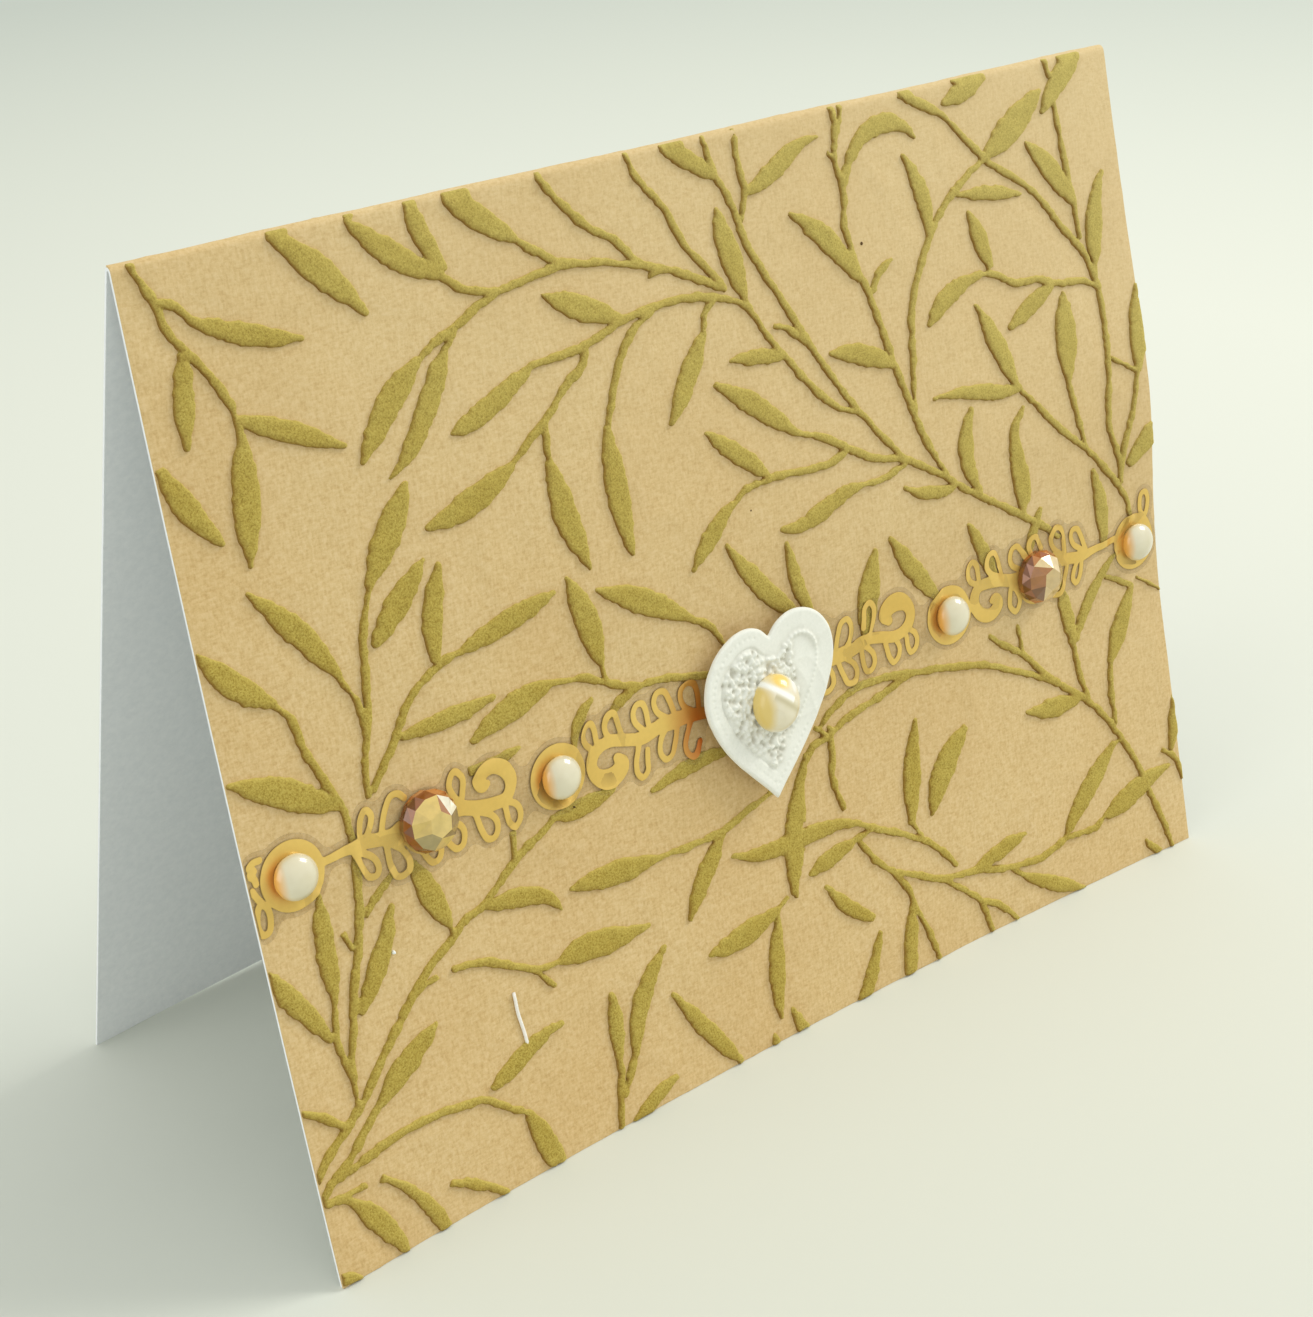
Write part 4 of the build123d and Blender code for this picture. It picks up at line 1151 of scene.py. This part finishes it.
def fibre():
    """A stray white fibre lying on the front."""
    line = curve_through(FIBRE_LINE, 0.5)
    section = circle(FIBRE_R, 8)
    points = [place(x - 1.4 * across, y, COVER_T + FIBRE_R + rise)
              for x, y in line for across, rise in section]
    return build("stray_fibre", np.array(points), ring_faces(len(line), len(section)), [])


# Specks as (x, y, radius, height); the bright one is a white flake that stands in for a glint, a painted
# highlight
DARK_SPECKS = ((93.9, 92.25, 0.22, 0.12), (71.4, 65.6, 0.2, 0.1), (20.4, 38.2, 0.26, 0.2),
               (40.6, 39.6, 0.14, 0.55))
PAINTED_GLINTS = ((14.6, 32.6, 0.24, 0.5),)


def specks(name, spots):
    """Tiny raised flakes lying on the uneven front."""
    points = []
    faces = []
    for x, y, radius, height in spots:
        dome = [(radius, 0.0), (0.8 * radius, 0.6 * height), (0.35 * radius, height)]
        flake, sides = turned(dome, 10)
        faces += [tuple(len(points) + k for k in face) for face in sides]
        paper = COVER_T + float(ripple(np.array(x), np.array(y)))
        points += set_down(flake, x, y, paper - 0.03).tolist()
    return build(name, points, faces, [])


# Materials


def linear(channel):
    """An 0 to 255 screen value as the linear value that nodes use."""
    share = channel / 255
    return share / 12.92 if share <= 0.04045 else ((share + 0.055) / 1.055) ** 2.4


def rgb(red, green, blue):
    return (linear(red), linear(green), linear(blue), 1.0)


def grey(value):
    return (value, value, value, 1.0)


class Paint:
    """A Principled material and short ways to add the nodes that feed it."""

    def __init__(self, name, **sockets):
        self.material = bpy.data.materials.new(name)
        self.material.use_nodes = True
        self.tree = self.material.node_tree
        self.shader = self.tree.nodes["Principled BSDF"]
        for socket, value in sockets.items():
            self.shader.inputs[socket.replace("_", " ")].default_value = value
        self.where = self.add("TexCoord", {}).outputs["Object"]

    def add(self, kind, feeds, **settings):
        """A new node with some settings, its inputs linked to sockets or set to values."""
        node = self.tree.nodes.new("ShaderNode" + kind)
        for key, value in settings.items():
            setattr(node, key, value)
        for key, value in feeds.items():
            if isinstance(value, bpy.types.NodeSocket):
                self.tree.links.new(value, node.inputs[key])
            else:
                node.inputs[key].default_value = value
        return node

    def shade(self, socket, source):
        self.tree.links.new(source, self.shader.inputs[socket])

    def stretched(self, scale, turn=(0, 0, 0), move=(0, 0, 0)):
        return self.add("Mapping", {"Vector": self.where, "Scale": scale, "Rotation": turn,
                                    "Location": move}).outputs["Vector"]

    def noise(self, size_mm, detail=2.0, rough=0.5, where=None):
        return self.add("TexNoise", {"Vector": where or self.where, "Scale": 1 / (size_mm * MM),
                                     "Detail": detail, "Roughness": rough}).outputs["Fac"]

    def ramp(self, source, *stops):
        node = self.add("ValToRGB", {"Fac": source})
        elements = node.color_ramp.elements
        while len(elements) < len(stops):
            elements.new(0.5)
        for element, (position, colour) in zip(elements, stops):
            element.position = position
            element.color = colour
        return node.outputs["Color"]

    def mix(self, factor, a, b, kind="MIX"):
        node = self.add("Mix", {0: factor, 6: a, 7: b}, data_type="RGBA", blend_type=kind)
        return node.outputs[2]

    def maths(self, kind, a, b):
        return self.add("Math", {0: a, 1: b}, operation=kind).outputs[0]

    def painted_light_share(self, most):
        """A share of painted light that grows to most towards the card's upper right corner."""
        apart = self.add("SeparateXYZ", {0: self.where})
        across = self.maths("MULTIPLY", apart.outputs["X"], 4.0)
        up = self.maths("MULTIPLY", apart.outputs["Z"], 7.0)
        return self.ramp(self.maths("ADD", across, up), (0.25, grey(0.0)), (0.95, grey(most)))

    def share(self, name, output="Fac"):
        return self.add("Attribute", {}, attribute_name=name).outputs[output]

    def colour(self, source):
        self.shade("Base Color", source)

    def bump(self, height, strength, distance_mm):
        node = self.add("Bump", {"Height": height, "Strength": strength,
                                 "Distance": distance_mm * MM})
        self.shade("Normal", node.outputs["Normal"])

    def onto(self, *pieces):
        for piece in pieces:
            piece.data.materials.clear()
            piece.data.materials.append(self.material)


def handmade_paper():
    paint = Paint("handmade_paper_look", Roughness=0.82, Specular_IOR_Level=0.25)
    fibres = paint.noise(0.30, 4.0, 0.7, paint.stretched((0.35, 1.0, 1.0), (0, 0.5, 0.3)))
    crossing = paint.noise(0.34, 4.0, 0.7, paint.stretched((1.0, 1.0, 0.3), (0, -0.4, 0.2)))
    grain = paint.maths("MULTIPLY", paint.maths("ADD", fibres, crossing), 0.5)
    tone = paint.ramp(grain, (0.37, rgb(196, 165, 111)), (0.48, rgb(210, 182, 129)),
                      (0.60, rgb(219, 193, 145)))
    blotch = paint.ramp(paint.noise(26.0, 2.0, 0.5), (0.35, rgb(250, 246, 240)), (0.65, grey(1.0)))
    mottled = paint.mix(1.0, tone, blotch, "MULTIPLY")
    # Paler towards the upper right: painted light
    paint.colour(paint.mix(paint.painted_light_share(0.42), mottled, rgb(224, 204, 160)))
    paint.bump(grain, 0.6, 0.12)
    return paint


def flock():
    paint = Paint("flock_look", Roughness=0.95, Specular_IOR_Level=0.15, Sheen_Weight=0.35,
                  Sheen_Roughness=0.5, Sheen_Tint=rgb(214, 200, 110))
    beads = paint.noise(0.22, 3.0, 0.75)
    speckle = paint.ramp(beads, (0.30, rgb(140, 116, 44)), (0.5, rgb(180, 158, 76)),
                         (0.70, rgb(200, 182, 98)))
    soft = paint.ramp(paint.noise(8.0, 2.0), (0.3, rgb(246, 242, 228)), (0.7, grey(1.0)))
    body = paint.mix(1.0, speckle, soft, "MULTIPLY")
    # Paler towards the upper right: painted light
    painted_light_body = paint.mix(paint.painted_light_share(0.3), body, rgb(216, 204, 136))
    # Painted shade on the rims facing the lower left, painted highlight on the rims facing the upper
    # right
    shaded = paint.mix(paint.share("painted_shade_rim"), painted_light_body, rgb(124, 84, 34))
    paint.colour(paint.mix(paint.maths("MULTIPLY", paint.share("lit"), 0.6), shaded,
                           rgb(214, 198, 112)))
    paint.bump(beads, 0.8, 0.14)
    return paint


def gold_foil():
    paint = Paint("gold_foil_look", Roughness=0.32, Metallic=0.4)
    wash = paint.ramp(paint.noise(12.0, 2.0), (0.3, rgb(222, 184, 92)), (0.7, rgb(236, 200, 108)))
    fine = paint.ramp(paint.noise(0.5, 3.0), (0.3, grey(0.95)), (0.7, grey(1.0)))
    sheet = paint.mix(1.0, wash, fine, "MULTIPLY")
    # Orange-brown painted shade and reflection beside the pearls, and the heart's painted shadow
    painted_orange_shade = paint.mix(paint.share("painted_orange_shade"), sheet, rgb(196, 104, 30))
    # Painted shade along one side of the gold's rims
    paint.colour(paint.mix(paint.share("painted_shade_rim"), painted_orange_shade, rgb(112, 84, 46)))
    paint.bump(paint.noise(3.0, 2.0), 0.12, 0.1)
    return paint


def clear_film():
    paint = Paint("clear_film_look", Roughness=0.22, IOR=1.45)
    rim = paint.share("rim")
    # A darker, less clear rim along the cut edge: partly the edge itself, partly painted shade
    paint.colour(paint.mix(rim, rgb(150, 124, 92), rgb(120, 92, 58)))
    scuffs = paint.maths("MULTIPLY", paint.noise(2.2, 3.0), 0.014)
    body = paint.maths("ADD", paint.maths("MULTIPLY", rim, 0.09), 0.004)
    paint.shade("Alpha", paint.maths("ADD", body, scuffs))
    paint.bump(paint.noise(4.0, 2.0), 0.1, 0.1)
    return paint


def pearl_paint():
    paint = Paint("pearl_look", Roughness=0.22, Coat_Weight=1.0, Coat_Roughness=0.06)
    cloud = paint.ramp(paint.noise(3.0, 2.0), (0.3, rgb(214, 205, 174)), (0.7, rgb(224, 217, 190)))
    # Painted shade low on the dome and a painted orange reflection of the gold on its left
    shaded = paint.mix(paint.share("shade"), cloud, rgb(214, 192, 140))
    paint.colour(paint.mix(paint.share("amber"), shaded, rgb(232, 172, 84)))
    paint.bump(paint.noise(0.7, 2.0), 0.05, 0.05)
    return paint


def amber_paint():
    paint = Paint("amber_look", Roughness=0.12, Metallic=0.15, IOR=1.6, Coat_Weight=0.8,
                  Coat_Roughness=0.03)
    streaks = paint.ramp(paint.noise(0.9, 3.0), (0.35, grey(0.86)), (0.65, grey(1.0)))
    paint.colour(paint.mix(1.0, paint.share("tint", "Color"), streaks, "MULTIPLY"))
    paint.bump(paint.noise(1.8, 1.0), 0.04, 0.05)
    return paint


def cream_paint():
    paint = Paint("cream_stone_look", Roughness=0.28, IOR=1.5, Coat_Weight=0.5, Coat_Roughness=0.04)
    tone = paint.ramp(paint.noise(2.5, 2.0), (0.3, rgb(228, 219, 190)), (0.7, rgb(236, 228, 204)))
    # Yellower on the left, then a painted shade band, a painted golden reflection at the crest and
    # painted highlight streaks
    for name, colour in (("yellow", rgb(224, 198, 118)), ("painted_shade_band", rgb(202, 192, 156)),
                         ("crest", rgb(240, 206, 108)), ("painted_highlight", rgb(250, 250, 244))):
        tone = paint.mix(paint.share(name), tone, colour)
    paint.colour(tone)
    paint.bump(paint.noise(1.5, 2.0), 0.05, 0.05)
    return paint


def plain_paper(name, light, dark, grain_mm, strength, pit_shade=None):
    """Paper or the like in one mottled colour, with a darker colour painted as shade in its pits where
    one is given.
    """
    paint = Paint(name, Roughness=0.75, Specular_IOR_Level=0.3)
    tone = paint.ramp(paint.noise(grain_mm, 4.0, 0.7), (0.3, dark), (0.7, light))
    if pit_shade:
        tone = paint.mix(paint.maths("MULTIPLY", paint.share("lace_shade"), 0.6), tone, pit_shade)
    paint.colour(tone)
    paint.bump(paint.noise(grain_mm, 3.0, 0.6), strength, 0.05)
    return paint


def foam():
    paint = Paint("foam_look", Roughness=0.9)
    cells = paint.noise(0.35, 2.0)
    paint.colour(paint.ramp(cells, (0.35, rgb(214, 214, 206)), (0.6, rgb(238, 238, 232))))
    paint.bump(cells, 0.6, 0.1)
    return paint


# The scene around the card


def stage_floor():
    """A wide pale floor, painted brightest round the card as a pool of light."""
    reach = 6.0
    corners = [(-reach, -reach, 0), (reach, -reach, 0), (reach, reach, 0), (-reach, reach, 0)]
    mesh = bpy.data.meshes.new("floor")
    mesh.from_pydata(corners, [], [(0, 1, 2, 3)])
    floor = bpy.data.objects.new("floor", mesh)
    bpy.context.scene.collection.objects.link(floor)
    paint = Paint("floor_look", Roughness=0.9, Specular_IOR_Level=0.0)
    spread = paint.stretched((1.35, 1.35, 1.35), move=(-0.2, -0.1, 0.0))
    # Painted light: the floor brightest round the card, darker farther off
    light_pool_gradient = paint.add("TexGradient", {"Vector": spread}, gradient_type="SPHERICAL")
    wide = paint.ramp(light_pool_gradient.outputs["Fac"], (0.30, rgb(190, 196, 188)), (0.55, rgb(206, 210, 200)),
                      (0.85, rgb(221, 223, 212)))
    mottle = paint.ramp(paint.noise(300.0, 1.0), (0.3, grey(0.985)), (0.7, grey(1.0)))
    paint.colour(paint.mix(1.0, wide, mottle, "MULTIPLY"))
    paint.onto(floor)


def soft_light(name, way, distance, size, power, colour):
    """A square lamp in direction way from the middle of the card, facing it; metres and watts."""
    data = bpy.data.lights.new(name, "AREA")
    data.shape = "SQUARE"
    data.size = size
    data.energy = power
    data.color = colour
    lamp = bpy.data.objects.new(name, data)
    way = Vector(way).normalized()
    lamp.location = Vector((0, 0, 0.05)) + way * distance
    lamp.rotation_euler = way.to_track_quat("Z", "Y").to_euler()
    bpy.context.scene.collection.objects.link(lamp)


def lights():
    soft_light("window", way=(0.9, -0.25, 0.75), distance=2.0, size=0.75, power=21.0,
               colour=(1.0, 0.98, 0.93))
    soft_light("room", way=(-0.5, -1.0, 1.0), distance=1.6, size=1.6, power=1.5,
               colour=(0.98, 0.99, 1.0))
    soft_light("inside", way=(-1.0, -0.02, 0.32), distance=1.5, size=1.2, power=5.5,
               colour=(1.0, 1.0, 0.98))
    world = bpy.data.worlds.new("room_air")
    world.use_nodes = True
    sky = world.node_tree.nodes["Background"]
    sky.inputs["Color"].default_value = (0.96, 0.98, 0.95, 1.0)
    sky.inputs["Strength"].default_value = 0.84
    bpy.context.scene.world = world


# Camera: azimuth, elevation and roll in degrees, target and distance in mm, focal length and
# middle of the picture in the photograph's pixels
PHOTO_W = 1313
PHOTO_H = 1317
CAMERA_AZ = -39.449
CAMERA_EL = 27.211
CAMERA_ROLL = -0.285
CAMERA_TARGET = (-10.604, -8.747, 48.286)
CAMERA_DISTANCE = 269.111
FOCAL_PX = 2307.49
CENTRE_PX = (649.15, 648.32)
SENSOR = 36.0


def camera():
    az, el, roll = (math.radians(a) for a in (CAMERA_AZ, CAMERA_EL, CAMERA_ROLL))
    back = Vector((math.sin(az) * math.cos(el), -math.cos(az) * math.cos(el), math.sin(el)))
    right = (-back).cross(Vector((0, 0, 1))).normalized()
    up = right.cross(-back)
    across = right * math.cos(roll) + up * math.sin(roll)
    upright = up * math.cos(roll) - right * math.sin(roll)
    data = bpy.data.cameras.new("camera")
    data.sensor_width = SENSOR
    longest = max(PHOTO_W, PHOTO_H)
    data.lens = FOCAL_PX * SENSOR / longest
    data.shift_x = (PHOTO_W / 2 - CENTRE_PX[0]) / longest
    data.shift_y = (CENTRE_PX[1] - PHOTO_H / 2) / longest
    data.clip_start = 0.01
    data.clip_end = 50.0
    body = bpy.data.objects.new("camera", data)
    turn = Matrix((across, upright, back)).transposed()
    spot = (Vector(CAMERA_TARGET) + back * CAMERA_DISTANCE) * MM
    body.matrix_world = Matrix.Translation(spot) @ turn.to_4x4()
    bpy.context.scene.collection.objects.link(body)
    bpy.context.scene.camera = body


def main():
    plain_paper("card_look", rgb(240, 242, 243), rgb(230, 233, 235), 0.8, 0.12).onto(card_sheet())
    handmade_paper().onto(cover())
    vine = vine_field()
    flock().onto(vines(vine))
    film_paint = clear_film()
    gold_paint = gold_foil()
    for side in SIDES:
        film, gold = border(side, vine)
        film_paint.onto(film)
        gold_paint.onto(gold)
    pearl_paint().onto(*[pearl(name, side["nudge"]) for side in SIDES.values()
                         for name in side["pearls"]])
    amber_paint().onto(amber("left"), amber("right"))
    cream_paint().onto(heart_stone())
    foam().onto(foam_pad())
    # The heart's lace pits take a painted shade
    plain_paper("heart_look", rgb(238, 238, 229), rgb(229, 230, 220), 0.4, 0.15,
                rgb(176, 170, 150)).onto(heart())
    plain_paper("fibre_look", rgb(246, 244, 238), rgb(232, 226, 214), 0.3, 0.2).onto(fibre())
    dark = specks("dark_specks", DARK_SPECKS)
    plain_paper("speck_look", rgb(104, 78, 40), rgb(78, 56, 28), 0.2, 0.2).onto(dark)
    # A white flake standing in for a glint: a painted highlight
    painted_glint = specks("painted_glint_flake", PAINTED_GLINTS)
    plain_paper("glint_look", rgb(250, 252, 252), rgb(236, 244, 244), 0.2, 0.1).onto(painted_glint)
    stage_floor()
    lights()
    camera()
    bpy.context.scene.view_settings.view_transform = "Standard"


main()
